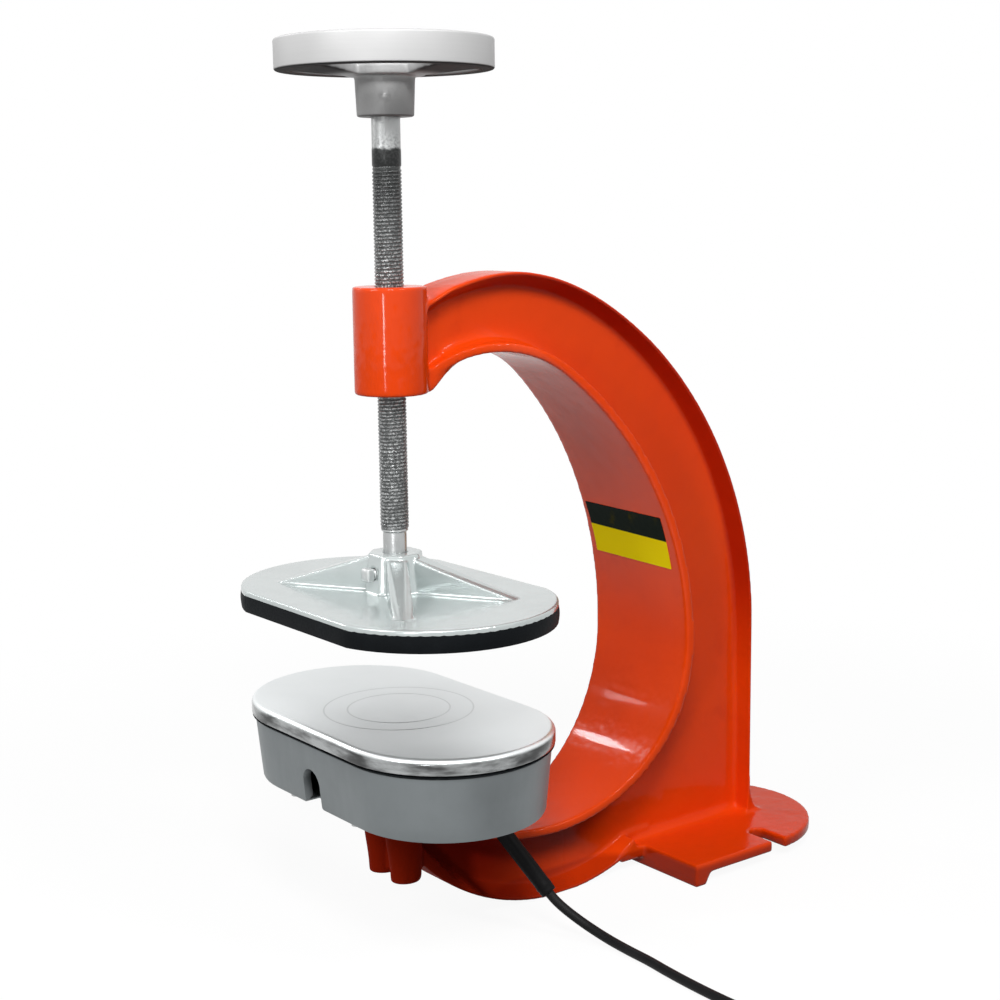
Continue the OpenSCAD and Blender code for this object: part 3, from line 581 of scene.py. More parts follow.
def mesh_from(name, points, faces):
    mesh = bpy.data.meshes.new(name)
    mesh.from_pydata([tuple(point) for point in points], [], faces)
    mesh.update()
    return mesh


@contextmanager
def mesh_work(mesh):
    """Opens a mesh for edits and writes them back."""
    work = bmesh.new()
    work.from_mesh(mesh)
    yield work
    work.to_mesh(mesh)
    work.free()


def loft(name, rings, loop=False):
    """A closed skin over rings of equal count; loop joins the last ring to the first."""
    count = len(rings[0])
    points = [point for ring in rings for point in ring]
    faces = []
    pairs = len(rings) if loop else len(rings) - 1
    for row in range(pairs):
        low = row * count
        high = (row + 1) % len(rings) * count
        for k in range(count):
            after = (k + 1) % count
            faces.append((low + k, low + after, high + after, high + k))
    if not loop:
        faces.append(tuple(reversed(range(count))))
        last = (len(rings) - 1) * count
        faces.append(tuple(range(last, last + count)))
    mesh = mesh_from(name, points, faces)
    with mesh_work(mesh) as work:
        bmesh.ops.recalc_face_normals(work, faces=work.faces)
    return mesh


def smooth(mesh, sharp=40):
    mesh.polygons.foreach_set("use_smooth", [True] * len(mesh.polygons))
    mesh.set_sharp_from_angle(angle=radians(sharp))
    return mesh


def round_ring(radius, z, steps=64):
    return [
        Vector((radius * cos(2 * pi * k / steps), radius * sin(2 * pi * k / steps), z))
        for k in range(steps)
    ]


def long_ring(half_w, half_l, end_r, z, side=14, end=30):
    """A ring round a plate with two straight sides and two round ends, about the screw's axis."""
    off = half_l - end_r
    start = acos(min(1.0, half_w / end_r))
    top = off + end_r * sin(start)
    ring = []
    for sign in (1, -1):
        for k in range(side):
            ring.append((sign * half_w, sign * (-top + 2 * top * k / side)))
        for k in range(end):
            turn = start + (pi - 2 * start) * k / end
            ring.append((sign * end_r * cos(turn), sign * (off + end_r * sin(turn))))
    return [Vector((AXIS_X + x, y, z)) for x, y in ring]


def turn_piece(name, profile, place, steps=64):
    """A turned piece: radius and height pairs round the local Z of a placing matrix."""
    rings = [round_ring(radius, z, steps) for radius, z in profile]
    mesh = loft(name, rings)
    mesh.transform(place)
    return mesh


def along(start, end):
    """A placing matrix with Z from start towards end."""
    turn = (end - start).to_track_quat("Z", "Y")
    return Matrix.Translation(start) @ turn.to_matrix().to_4x4()


def bake_modifiers(made):
    graph = bpy.context.evaluated_depsgraph_get()
    mesh = bpy.data.meshes.new_from_object(made.evaluated_get(graph))
    made.modifiers.clear()
    made.data = mesh
    return mesh


def cut_with(made, tool, operation):
    """Cuts an object by another mesh, or keeps only what lies inside it."""
    cutter = add_object("cutter", tool)
    cut = made.modifiers.new("cut", "BOOLEAN")
    cut.operation = operation
    cut.object = cutter
    cut.solver = "EXACT"
    bake_modifiers(made)
    bpy.data.objects.remove(cutter)


def cast_skin(name, node, extras, voxel, rounds, faces, keep=None, shape=None):
    """The node's solid and its extras as one soft edged casting."""
    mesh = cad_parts[node].data.copy()
    with mesh_work(mesh) as work:
        bmesh.ops.remove_doubles(work, verts=work.verts, dist=1e-6)
    made = add_object(name, mesh)
    if keep:
        cut_with(made, keep, "INTERSECT")
    with mesh_work(made.data) as work:
        for extra in extras:
            work.from_mesh(extra)
    remesh = made.modifiers.new("skin", "REMESH")
    remesh.mode = "VOXEL"
    remesh.voxel_size = voxel
    mesh = bake_modifiers(made)
    if shape:
        spots = np.empty(len(mesh.vertices) * 3)
        mesh.vertices.foreach_get("co", spots)
        mesh.vertices.foreach_set("co", shape(spots.reshape(-1, 3)).ravel())
        mesh.update()
    soften = made.modifiers.new("soften", "SMOOTH")
    soften.factor = 0.5
    soften.iterations = rounds
    lighten = made.modifiers.new("lighten", "DECIMATE")
    lighten.ratio = min(1.0, faces / (2 * len(mesh.polygons)))
    smooth(bake_modifiers(made), 180)
    return made


def dress(made, finish, body, slot, *nodes):
    made.data.materials.clear()
    made.data.materials.append(finish)
    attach(made, body)
    if nodes:
        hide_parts(*nodes)
    return made


def add_piece(name, data, *looks):
    """A new object with its finish, body and the nodes that it replaces; its slot is not used."""
    return dress(add_object(name, data), *looks)


def refinish(node, finish):
    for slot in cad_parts[node].material_slots:
        slot.material = finish


# The arcs of the casting

class Arcs:
    """Centres and radii of the arcs round the throat and outside it."""

    def __init__(self, s):
        self.low_c = (s.reach - s.low_r, s.mid_z)
        self.back_c = (s.reach - s.back_r, s.mid_z)
        gap = s.back_r - s.top_r
        self.top_c = (self.back_c[0] + gap * cos(s.throat_turn), s.mid_z + gap * sin(s.throat_turn))
        self.spine_x = s.reach + s.spine_depth
        crown_z = self.top_c[1] + s.top_r + s.crown_depth
        arch_x = self.spine_x - s.arch_r
        rise = self.top_c[0] - arch_x
        self.crown_r = s.arch_r - rise / cos(s.arch_turn)
        self.crown_c = (self.top_c[0], crown_z - self.crown_r)
        self.arch_c = (arch_x, self.crown_c[1] - rise * tan(s.arch_turn))
        self.neck_c = (self.top_c[0], crown_z - s.neck_r)
        self.arm_c = (s.arm_low_x, s.arm_r - MM)


def cove_ring(origin, out, size, flank):
    """A ring across the web with a hollow quarter round on both sides of it."""
    steps = 7
    half = [(-1.5 * MM, flank + size)]
    for k in range(steps + 1):
        turn = pi / 2 * (1 - k / steps)
        half.append((size - size * sin(turn), flank + size - size * cos(turn)))
    ring = half + [(u, -v) for u, v in reversed(half)]
    return [
        Vector((AXIS_X + origin[0] + u * out[0], v, origin[1] + u * out[1])) for u, v in ring
    ]


def arc_coves(name, centre, radius, start, end, size_at, flank):
    """Coves along the outside of an arc."""
    steps = max(8, int((end - start) / radians(3)))
    rings = []
    for k in range(steps + 1):
        turn = start + (end - start) * k / steps
        out = (cos(turn), sin(turn))
        origin = (centre[0] + radius * out[0], centre[1] + radius * out[1])
        rings.append(cove_ring(origin, out, size_at(origin[0]), flank))
    return loft(name, rings)


def casting_coves(s):
    """The hollows along the throat flange and on the foot."""
    arcs = Arcs(s)
    flank = s.web_t / 2

    def size_at(x):
        spare = s.inner_half - (s.reach - x) * s.inner_taper - flank - 1.5 * MM
        return max(2 * MM, min(s.cove, spare))

    made = []
    for name, centre, radius, first, last in (
        ("low", arcs.low_c, s.low_r, radians(-118), 0),
        ("back", arcs.back_c, s.back_r, 0, s.throat_turn),
        ("top", arcs.top_c, s.top_r, s.throat_turn, radians(114)),
    ):
        made.append(arc_coves(name, centre, radius + s.inner_t, first, last, size_at, flank))
    sole = [
        cove_ring((x, s.foot_top), (0, 1), s.cove, flank)
        for x in (s.foot_front + 2 * MM, arcs.spine_x - MM)
    ]
    return made + [loft("sole", sole)]


# Name, half width and outline of the fuller places of the casting, in millimetres
FILLETS = (
    ("heel", 19.5, (
        (198, 8), (205, 13.5), (212, 17), (220, 18.3), (230, 18.2), (238, 18), (238, 8),
    )),
    ("heel_root", 7.5, ((198, 12), (205, 21.5), (211, 25.6), (218, 27), (238, 27), (238, 12))),
    ("foot_lip", 79.4, (
        (222.6, 0.3), (232, 0.3), (234.5, 2.5), (239, 9.5), (239, 12), (222.6, 12),
    )),
    ("spine_flare", 19.5, (
        (339.6, 14), (339.6, 58), (341.3, 48), (342, 39), (343.6, 32), (346, 26), (349.5, 21.5),
        (355, 18.3), (355, 14),
    )),
    ("neck_fillet", 12.5, (
        (22, 398.4), (26.5, 398.4), (32, 403.2), (38, 409), (44, 413.8), (50, 417.6),
        (56, 420.3), (56, 428), (50, 425.5), (44, 421.5), (38, 416.5), (32, 411), (26.5, 406.5),
        (22, 403),
    )),
)


def prism(name, half, outline):
    """An upright piece across the web; its outline is in millimetres from the screw's axis."""
    return loft(name, [[at((x, side * half, z)) for x, z in outline] for side in (-1, 1)])


def fade(value, first, last):
    """Goes softly from 0 at the first to 1 at the last distance in millimetres."""
    f = np.clip((value / MM - first) / (last - first), 0, 1)
    return f * f * (3 - 2 * f)


def taper_lugs(s, spots):
    """Draws the outside of the bolt lugs in towards their lower ends."""
    sign = np.sign(spots[:, 1])
    dx = spots[:, 0] - AXIS_X + s.lug_back
    dy = np.abs(spots[:, 1]) - s.lug_side
    gone = np.hypot(dx, dy)
    core = 9.4 * MM
    here = (gone > core) & (gone < s.lug_r + MM) & (spots[:, 2] < s.lug_low + 45 * MM)
    pull = 0.88 * fade(spots[:, 2] - s.lug_low, 42, 2) * here
    pull *= 1 - 0.8 * fade(dx, -4, 8)
    scale = 1 - pull * (gone - core) / np.maximum(gone, core)
    spots[:, 0] += dx * (scale - 1)
    spots[:, 1] += sign * dy * (scale - 1)


def thin_flange(s):
    """Moves the inner corner of the outer flange onto a slope from a thin edge to the web."""
    arcs = Arcs(s)
    flank, half = s.web_t / 2, s.outer_half
    mid_root = (s.root_arch + s.root_spine) / 2
    reach, ending = 42 * MM, radians(8)

    def shape(spots):
        x, z = spots[:, 0] - AXIS_X, spots[:, 2]
        side = np.abs(spots[:, 1])
        depth = np.full(len(x), 1.0)
        root = np.full(len(x), s.root_arch)
        amount = np.zeros(len(x))
        grow = np.zeros(len(x))
        out = np.zeros((len(x), 2))
        for centre, radius, first, last, growth in (
            (arcs.arch_c, s.arch_r, 0, s.arch_turn, 1),
            (arcs.crown_c, arcs.crown_r, s.arch_turn, pi / 2, 1),
            (arcs.neck_c, s.neck_r, pi / 2, radians(126), 1),
            (arcs.arm_c, s.arm_r, radians(-134), radians(-63), 0),
        ):
            dx, dz = x - centre[0], z - centre[1]
            gone = np.hypot(dx, dz)
            turn = np.arctan2(dz, dx)
            here = (turn > first) & (turn <= last) & (np.abs(gone - radius) < reach)
            depth[here] = radius - gone[here]
            out[here, 0] = (dx / gone)[here]
            out[here, 1] = (dz / gone)[here]
            grow[here] = growth
            amount[here] = 1
            if not growth:
                amount[here] = (fade(x, 8, 60) * np.clip((last - turn) / ending, 0, 1))[here]
            if radius == s.arch_r:
                lift = np.clip(turn / s.arch_turn * 1.6, 0, 1)
                root[here] = (mid_root + (s.root_arch - mid_root) * lift)[here]
        low, high = s.foot_top, arcs.arch_c[1]
        here = (z > low) & (z <= high) & (np.abs(arcs.spine_x - x) < reach)
        depth[here] = (arcs.spine_x - x)[here]
        out[here] = (1, 0)
        lift = (z - low) / (high - low)
        root[here] = (s.root_spine + (mid_root - s.root_spine) * lift)[here]
        amount[here] = np.clip((z - low) / (2 * MM), 0, 1)[here]
        grow[here] = np.clip((z - low) / (30 * MM), 0, 1)[here]
        crown = s.crown_growth * fade(x, 45, 110) * fade(x, 225, 120)
        grow *= (s.edge_growth * fade(x, 26, 45) + crown) * fade(depth, 42, 12)
        collar = np.hypot(x, side) < s.collar_r + 1.5 * MM
        grow[collar] = 0
        amount[collar] = 0
        amount[(depth > s.outer_t + MM) | (depth < -1.5 * MM)] = 0
        amount[(side > half + 1.5 * MM) | (x < 10 * MM)] = 0
        amount[side < flank - 0.5 * MM] = 0
        down, over = root - s.edge_t, flank - half
        amount[(side - half) * down < (depth - s.edge_t) * over] = 0
        step = ((depth - s.edge_t) * down + (side - half) * over) / (down ** 2 + over ** 2)
        step = np.clip(step, 0, 1)
        rise = (depth - s.edge_t - down * step) * amount + grow
        inset = (half + over * step - side) * amount
        spots[:, 0] += out[:, 0] * rise
        spots[:, 2] += out[:, 1] * rise
        spots[:, 1] += np.sign(spots[:, 1]) * inset
        taper_lugs(s, spots)
        return spots

    return shape


# The operators

CAMERA_LENS = 62.98
CAMERA_SPOT = (-0.83985, -1.0140, 0.53237)
CAMERA_TURN = radians(-37.5)
CAMERA_DIP = radians(9.8)
CAMERA_ROLL = radians(-0.68)
LIGHT_TARGET = Vector((0.0, 0.0, 0.28))
# Name, place, width, height and watts of the soft lights
LIGHTS = (
    ("key_light", (-0.98, -1.34, 1.85), 0.6, 0.6, 33.0),
    ("front_light", (0.30, -1.60, 1.80), 0.5, 0.5, 15.0),
    ("left_light", (-1.75, -0.15, 1.50), 0.7, 0.7, 15.0),
    ("strip_light", (-1.83, -1.24, 0.30), 0.16, 0.4, 5.0),
    ("back_light", (-0.74, 1.60, 1.41), 0.12, 0.12, 5.0),
    ("patch_light", (-1.29, 1.59, 0.84), 0.10, 0.10, 0.9),
)
FLOOR_HALF = 30.0


class VULCANIZER_OT_stage(bpy.types.Operator):
    """Set the camera, the pale floor and the soft light"""

    bl_idname = "vulcanizer.stage"
    bl_label = "Stage"

    def execute(self, context):
        add_camera(context.scene)
        add_floor()
        add_world(context.scene)
        for row in LIGHTS:
            add_light(*row)
        context.scene.view_settings.view_transform = "Standard"
        return {"FINISHED"}


def add_camera(scene):
    data = bpy.data.cameras.new("camera")
    data.sensor_width = 36.0
    data.lens = CAMERA_LENS
    data.clip_start = 0.05
    camera = add_object("camera", data)
    turn, dip, roll = CAMERA_TURN, CAMERA_DIP, CAMERA_ROLL
    ahead = Vector((-sin(turn) * cos(dip), cos(turn) * cos(dip), -sin(dip)))
    side = Vector((cos(turn), sin(turn), 0.0))
    above = side.cross(ahead)
    right = side * cos(roll) + above * sin(roll)
    up = above * cos(roll) - side * sin(roll)
    place = Matrix((right, up, -ahead)).transposed().to_4x4()
    place.translation = CAMERA_SPOT
    camera.matrix_world = place
    scene.camera = camera


def shown_ray(paint):
    """1 on rays from the camera, from gloss and through glass."""
    rays = [
        paint.node("LightPath", {}, {}, out)
        for out in ("Is Camera Ray", "Is Glossy Ray", "Is Transmission Ray")
    ]
    return rays[0] + rays[1] + rays[2]


def add_floor():
    corners = [(x * FLOOR_HALF, y * FLOOR_HALF, 0) for x, y in ((-1, -1), (1, -1), (1, 1), (-1, 1))]
    floor = add_object("floor", mesh_from("floor", corners, [(0, 1, 2, 3)]))
    paint = Finish("pale_floor")
    x, y = paint.axes()[:2]
    far = paint.ramp(paint.span(x + AXIS_X, y), 0.45, 1.0)
    matt = paint.node("BsdfDiffuse", {}, {"Color": (0.08, 0.08, 0.08, 1.0)})
    glow = paint.node("Emission", {}, {"Strength": shown_ray(paint) * 0.93})
    near = paint.node("AddShader", {}, {0: matt, 1: glow})
    white = paint.node("Emission", {}, {"Strength": shown_ray(paint)})
    paint.close(paint.node("MixShader", {}, {0: far, 1: near, 2: white}))
    floor.data.materials.append(paint.material)


def add_world(scene):
    world = bpy.data.worlds.new("studio")
    scene.world = world
    world.use_nodes = True
    sky = Finish("studio", world.node_tree)
    shown = sky.node("Math", {"operation": "MINIMUM"}, {0: shown_ray(sky), 1: 1.0})
    light = sky.node("Background", {}, {"Color": (1, 1, 1, 1), "Strength": shown * 0.94 + 0.06})
    sky.close(light, "OutputWorld")


def add_light(name, place, width, height, watts):
    data = bpy.data.lights.new(name, "AREA")
    data.shape = "RECTANGLE"
    data.size, data.size_y = width, height
    data.energy = watts
    spot = Vector(place)
    add_object(name, data).matrix_world = along(spot, spot * 2 - LIGHT_TARGET)


LEAD_ROUTE = (
    (79, -77, 30), (82.6, -84, 23.6), (87.6, -93.4, 17), (92.5, -104.5, 11.2), (96, -121, 6.8),
    (97.3, -140, 5), (98, -160, 4.2), (97, -180, 3.8), (96, -200, 3.8), (95.5, -220, 3.9),
    (95.4, -240, 4.2), (95.4, -262, 4.8), (95.4, -284, 5.1), (95.4, -304, 5.1),
)
SLEEVE_FROM = (50, -16, 103)
COIL_CENTRE = (42, -312, 5.1)
COIL_TURNS = 6.25
PLUG_FROM = (4, -363.5, 18.05)


def at(point):
    """A point in millimetres from the screw's axis, in the part's frame."""
    return Vector((AXIS_X + point[0] * MM, point[1] * MM, point[2] * MM))


def soft_curve(points, steps):
    """Points on a smooth curve through the given ones."""
    ends = [points[0] * 2 - points[1], *points, points[-1] * 2 - points[-2]]
    made = []
    for a, b, c, d in zip(ends, ends[1:], ends[2:], ends[3:]):
        for k in range(steps):
            f = k / steps
            made.append(
                b + (c - a) * (f / 2)
                + (a * 2 - b * 5 + c * 4 - d) * (f * f / 2)
                + (b * 3 - a - c * 3 + d) * (f ** 3 / 2)
            )
    return made + [points[-1]]


def coil_point(sizes, turns):
    down, up = 3.0, 3.5
    if turns < down:
        radius = sizes.coil_r - sizes.coil_step * turns
    elif turns < up:
        radius = sizes.coil_in
    else:
        radius = sizes.coil_in + sizes.coil_step * (turns - up)
    climb = min(1.0, max(0.0, (turns - down) / (up - down)))
    way = 2 * pi * turns
    lift = Vector((radius * cos(way), -radius * sin(way), sizes.coil_step * climb))
    return at(COIL_CENTRE) + lift


def lead_points(sizes):
    route = [at(point) for point in LEAD_ROUTE]
    inside = (at(SLEEVE_FROM) - route[0]).normalized() * 12 * MM
    route = soft_curve([route[0] + inside, *route], 5)
    per_turn = 44
    coil = [coil_point(sizes, k / per_turn) for k in range(int(COIL_TURNS * per_turn) + 1)]
    start = coil[-1] - Vector((8 * MM, 0, 0))
    end = at(PLUG_FROM)
    straight = Vector((6 * MM, 0, 0))
    tail = [start]
    for k in range(13):
        f = k / 12
        point = (start - straight).lerp(end + straight, f)
        point.z = start.z + (end.z - start.z) * f * f * (3 - 2 * f)
        tail.append(point)
    return route + coil + tail + [end]


class VULCANIZER_OT_lead(bpy.types.Operator):
    """Lay the mains lead with its sleeve, tie and plug"""

    bl_idname = "vulcanizer.lead"
    bl_label = "Mains lead"

    def execute(self, context):
        sizes, colours = context.scene.fitting_sizes, context.scene.finish_colours
        rubber = dull_finish("lead_rubber", tint(colours.black, 0.6), 0.40, 900.0, 0.00010, 2.2, 0.12)
        plastic = dull_finish("black_plastic", tint(colours.black, 0.4), 0.44, 700.0, 0.00012, 1.8, 0.07)
        points = lead_points(sizes)
        data = bpy.data.curves.new("mains_lead", "CURVE")
        data.dimensions = "3D"
        spline = data.splines.new("POLY")
        spline.points.add(len(points) - 1)
        for spot, point in zip(spline.points, points):
            spot.co = (*point, 1.0)
        data.bevel_depth = sizes.cord_d / 2
        data.bevel_resolution = 5
        data.use_fill_caps = True
        lead = add_piece(
            "mains_lead", data, rubber, "frame", "cord_rubber", "power_cord", "cord_coil", "cord_tail"
        )
        for name, mesh, node in (
            ("lead_sleeve", sleeve_mesh(), "cord_sleeve"),
            ("lead_tie", tie_mesh(), "cord_tie"),
            ("mains_plug", plug_mesh(), "plug_body"),
        ):
            add_piece(name, mesh, plastic, "frame", "black_plastic", node)
        run = sum((b - a).length for a, b in zip(points, points[1:]))
        return {"FINISHED"}


def sleeve_mesh():
    """A smooth sleeve with a thin rolled ring near its end."""
    start, end = at(SLEEVE_FROM), at(LEAD_ROUTE[0])
    skip = 14 * MM
    run = (end - start).length - skip - 4 * MM
    profile = []
    rows = 60
    for k in range(rows + 1):
        f = k / rows
        ring = 0.45 * MM * max(0.0, 1 - abs(f - 0.93) / 0.025)
        profile.append(((6.4 - 0.5 * f) * MM + ring, f * run))
    profile += [(5.5 * MM, run + 0.5 * MM), (4.0 * MM, run + 0.7 * MM)]
    place = along(start, end) @ Matrix.Translation((0, 0, skip))
    return smooth(turn_piece("lead_sleeve", profile, place, 40))


def tie_mesh():
    """A strap round the turns of the coil, with its edges taken off."""
    half_x, half_y, low, high = half_sizes("cord_tie")
    half_z = (high - low) / 2
    thick, corner = 1.2 * MM, 3 * MM
    section = (
        (1, 0.25), (0.94, 0.0), (-0.94, 0.0), (-1, 0.25), (-1, 0.75), (-0.94, 1.0), (0.94, 1.0),
        (1, 0.75),
    )
    rings = []
    for cy, cz, first in ((1, 1, 0), (-1, 1, 90), (-1, -1, 180), (1, -1, 270)):
        hub = middle("cord_tie") + Vector((0, cy * (half_y - corner), cz * (half_z - corner)))
        for k in range(7):
            turn = radians(first + 15 * k)
            out = Vector((0, cos(turn), sin(turn)))
            rings.append([
                hub + out * (corner - deep * thick) + Vector((side * half_x, 0, 0))
                for side, deep in section
            ])
    return smooth(loft("lead_tie", rings, loop=True), 50)


def plug_mesh():
    """A moulded plug with a ridged boot."""
    half_x, _, low, high = half_sizes("plug_body")
    start = middle("plug_body") + Vector((half_x, 0, 0))
    boot, ridge = 26 * MM, 0.55 * MM
    body, big = 2 * half_x - boot, (high - low) / 2
    profile = []
    for k in range(41):
        f = k / 40
        swell = ridge * sin(2 * pi * f * 5 - pi / 2) if f < 0.9 else -ridge
        profile.append(((5.4 + 3.6 * f) * MM + (swell if f > 0.1 else 0), f * boot))
    shape = (
        (0.02, 0.56), (0.08, 0.66), (0.20, 0.80), (0.34, 0.91), (0.50, 0.97), (0.64, 1.0),
        (0.86, 1.0), (0.94, 0.985), (0.98, 0.955), (1.0, 0.90),
    )
    profile += [(big * r, boot + body * f) for f, r in shape]
    return smooth(turn_piece("mains_plug", profile, along(start, start - Vector((1, 0, 0))), 48))


class VULCANIZER_OT_casting(bpy.types.Operator):
    """Cast the frame with hollows along its web"""

    bl_idname = "vulcanizer.casting"
    bl_label = "Frame casting"

    def execute(self, context):
        s, colours = context.scene.casting_sizes, context.scene.finish_colours
        extras = casting_coves(s) + [prism(*row) for row in FILLETS]
        made = cast_skin(
            "cast_frame", "frame_casting", extras, s.frame_voxel, s.smoothing, 130000,
            shape=thin_flange(s),
        )
        dress(made, enamel_finish(colours, s), "frame", "enamel", "frame_casting")
        return {"FINISHED"}


class VULCANIZER_OT_sticker(bpy.types.Operator):
    """Lay the blank two colour sticker on the throat flange"""

    bl_idname = "vulcanizer.sticker"
    bl_label = "Blank sticker"

    def execute(self, context):
        s, colours = context.scene.casting_sizes, context.scene.finish_colours
        fields, slope = 0.535, 0.037
        split = s.sticker_low + (s.sticker_high - s.sticker_low) * fields - s.sticker_slant / 2
        border = Arcs(s).back_c[1] + s.back_r * sin(split)
        finish = sticker_finish(colours, border, slope)
        add_piece("blank_sticker", sticker_mesh(s), finish, "frame", "enamel")
        return {"FINISHED"}


def sticker_mesh(s):
    """A thin sheet on the rear arc, in rings from its lower to its upper edge."""
    centre = Arcs(s).back_c
    rows, columns = 14, 10
    across = [k / columns for k in range(columns + 1)]
    rings = []
    for i in range(rows + 1):
        ring = []
        for skin, order in ((0.35 * MM, across), (0.10 * MM, across[::-1])):
            radius = s.back_r - skin
            for f in order:
                turn = s.sticker_low + (s.sticker_high - s.sticker_low) * i / rows
                turn -= s.sticker_slant * f
                y = s.sticker_far + (s.sticker_near - s.sticker_far) * f
                x, z = centre[0] + radius * cos(turn), centre[1] + radius * sin(turn)
                ring.append(Vector((AXIS_X + x, y, z)))
        rings.append(ring)
    return smooth(loft("blank_sticker", rings))


class VULCANIZER_OT_heater(bpy.types.Operator):
    """Make the platen, its seal, the housing with the vent and the cover below it"""

    bl_idname = "vulcanizer.heater"
    bl_label = "Heater"

    def execute(self, context):
        sizes, colours = context.scene.fitting_sizes, context.scene.finish_colours
        polish = platen_finish(colours, sizes, half_sizes("heater_plate")[3])
        add_piece("platen", platen_mesh(sizes), polish, "frame", "platen", "heater_plate")
        seal = slab_mesh("platen_seal", "heat_seal", 0.4 * MM, 3.6 * MM)
        soot = dull_finish("seal_black", tint(colours.rubber, 0.5), 0.60, 600.0, 0.0002, 1.8, 0.05)
        add_piece("platen_seal", seal, soot, "frame", "heat_seal", "heat_seal")
        satin = satin_metal("satin_housing", colours.housing, 0.36)
        dress(housing_piece(sizes), satin, "frame", "housing", "heater_housing")
        cover = add_object("bottom_cover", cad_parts["base_cover"].data.copy())
        cut_with(cover, vent_mesh(sizes), "DIFFERENCE")
        smooth(cover.data, 35)
        steel = satin_metal("cover_steel", tint(colours.housing, 1.1), 0.34)
        dress(cover, steel, "frame", "zinc_steel", "base_cover")
        return {"FINISHED"}


def half_sizes(node):
    low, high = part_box(node)
    return (high.x - low.x) / 2, (high.y - low.y) / 2, low.z, high.z


def round_over(edge, top, steps):
    """Insets and heights round an upper edge, from the side to the top."""
    turns = [pi / 2 * k / steps for k in range(steps + 1)]
    return [(edge * (1 - cos(turn)), top - edge + edge * sin(turn)) for turn in turns]


def inset_rings(half_w, half_l, end_r, rows):
    """Rings round a long plate, from pairs of inset and height."""
    return [long_ring(half_w - i, half_l - i, end_r - i, z) for i, z in rows]


def platen_mesh(sizes):
    """The platen with its rounded upper edge and the two turned circles."""
    half_w, half_l, low, high = half_sizes("heater_plate")
    edge, groove = sizes.platen_edge, 0.15 * MM
    rows = [(6 * MM, low), (0.8 * MM, low), (0.2 * MM, low + 0.3 * MM), (0, low + MM)]
    rows += round_over(edge, high, 10) + [(edge + 1.5 * MM, high)]
    rings = inset_rings(half_w, half_l, half_w, rows)
    turns = [atan2(point.y, point.x - AXIS_X) for point in rings[-1]]
    for circle in (sizes.circle_out, sizes.circle_in):
        for step, drop in ((1.2, 0), (0.5, 0), (0, groove), (-0.5, 0), (-1.2, 0)):
            radius = circle + step * MM
            rings.append([
                Vector((AXIS_X + radius * cos(turn), radius * sin(turn), high - drop))
                for turn in turns
            ])
    return smooth(loft("platen", rings), 50)


def slab_mesh(name, node, edge, bulge, end_r=None, lip=0.0):
    """A slab with soft edges and sides that stand out a little; its lip rises over the node's top."""
    half_w, half_l, low, high = half_sizes(node)
    high += lip
    flat = edge + 2 * MM
    rows = [(flat, low)] + [(i, low - z) for i, z in reversed(round_over(edge, 0, 5))]
    for k in range(1, 6):
        f = k / 6
        rows.append((-bulge * sin(pi * f), low + edge + (high - low - 2 * edge) * f))
    rows += round_over(edge, high, 5) + [(flat, high)]
    return smooth(loft(name, inset_rings(half_w, half_l, end_r or half_w, rows)), 50)


def housing_piece(sizes):
    """The drafted, hollow housing with its vent."""
    half_w, half_l, low, high = half_sizes("heater_housing")
    draft, wall, top = 4.5 * MM, sizes.wall, high - low
    rows = [(draft + 1.6 * MM, 0.0), (draft + 0.5 * MM, 0.5 * MM), (draft - 0.1 * MM, 1.6 * MM)]
    rows += [(draft * (1 - f), top * f) for f in (0.25, 0.5, 0.75, 0.955)]
    rows += [(0.15 * MM, top - 0.7 * MM), (0.9 * MM, top)]
    rows += [(wall, top), (wall + 0.5 * MM, top - 1 * MM)]
    rows += [(wall + draft * 0.4, 29 * MM), (wall + draft * 0.5 + 2.4 * MM, 27 * MM)]
    rows += [(wall + draft + 2.4 * MM, 4 * MM), (wall + draft, 3 * MM), (wall + draft, 0.0)]
    rings = inset_rings(half_w, half_l, half_w, [(i, low + z) for i, z in rows])
    made = add_object("housing", loft("housing", rings, loop=True))
    cut_with(made, vent_mesh(sizes), "DIFFERENCE")
    bevel = made.modifiers.new("edge", "BEVEL")
    bevel.width = 0.9 * MM
    bevel.segments = 3
    bevel.limit_method = "ANGLE"
    bevel.angle_limit = radians(50)
    smooth(bake_modifiers(made), 35)
    return made


def vent_mesh(sizes):
    """The arched block that cuts the vent, flared at its lower corners."""
    low = half_sizes("heater_housing")[2]
    half, flare = sizes.vent_w / 2, 3 * MM
    turns = [pi / 2 * k / 5 for k in range(6)]
    curve = [(flare * (1 - sin(turn)), flare * (1 - cos(turn))) for turn in turns]
    outline = [(-half - flare, -5 * MM), (half + flare, -5 * MM)]
    outline += [(half + y, z) for y, z in curve]
    for k in range(17):
        turn = pi * k / 16
        outline.append((half * cos(turn), sizes.vent_h - half + half * sin(turn)))
    outline += [(-half - y, z) for y, z in reversed(curve)]
    return loft("vent_cutter", [
        [Vector((AXIS_X + x, sizes.vent_y + y, low + z)) for y, z in outline]
        for x in (-95 * MM, -58 * MM)
    ])


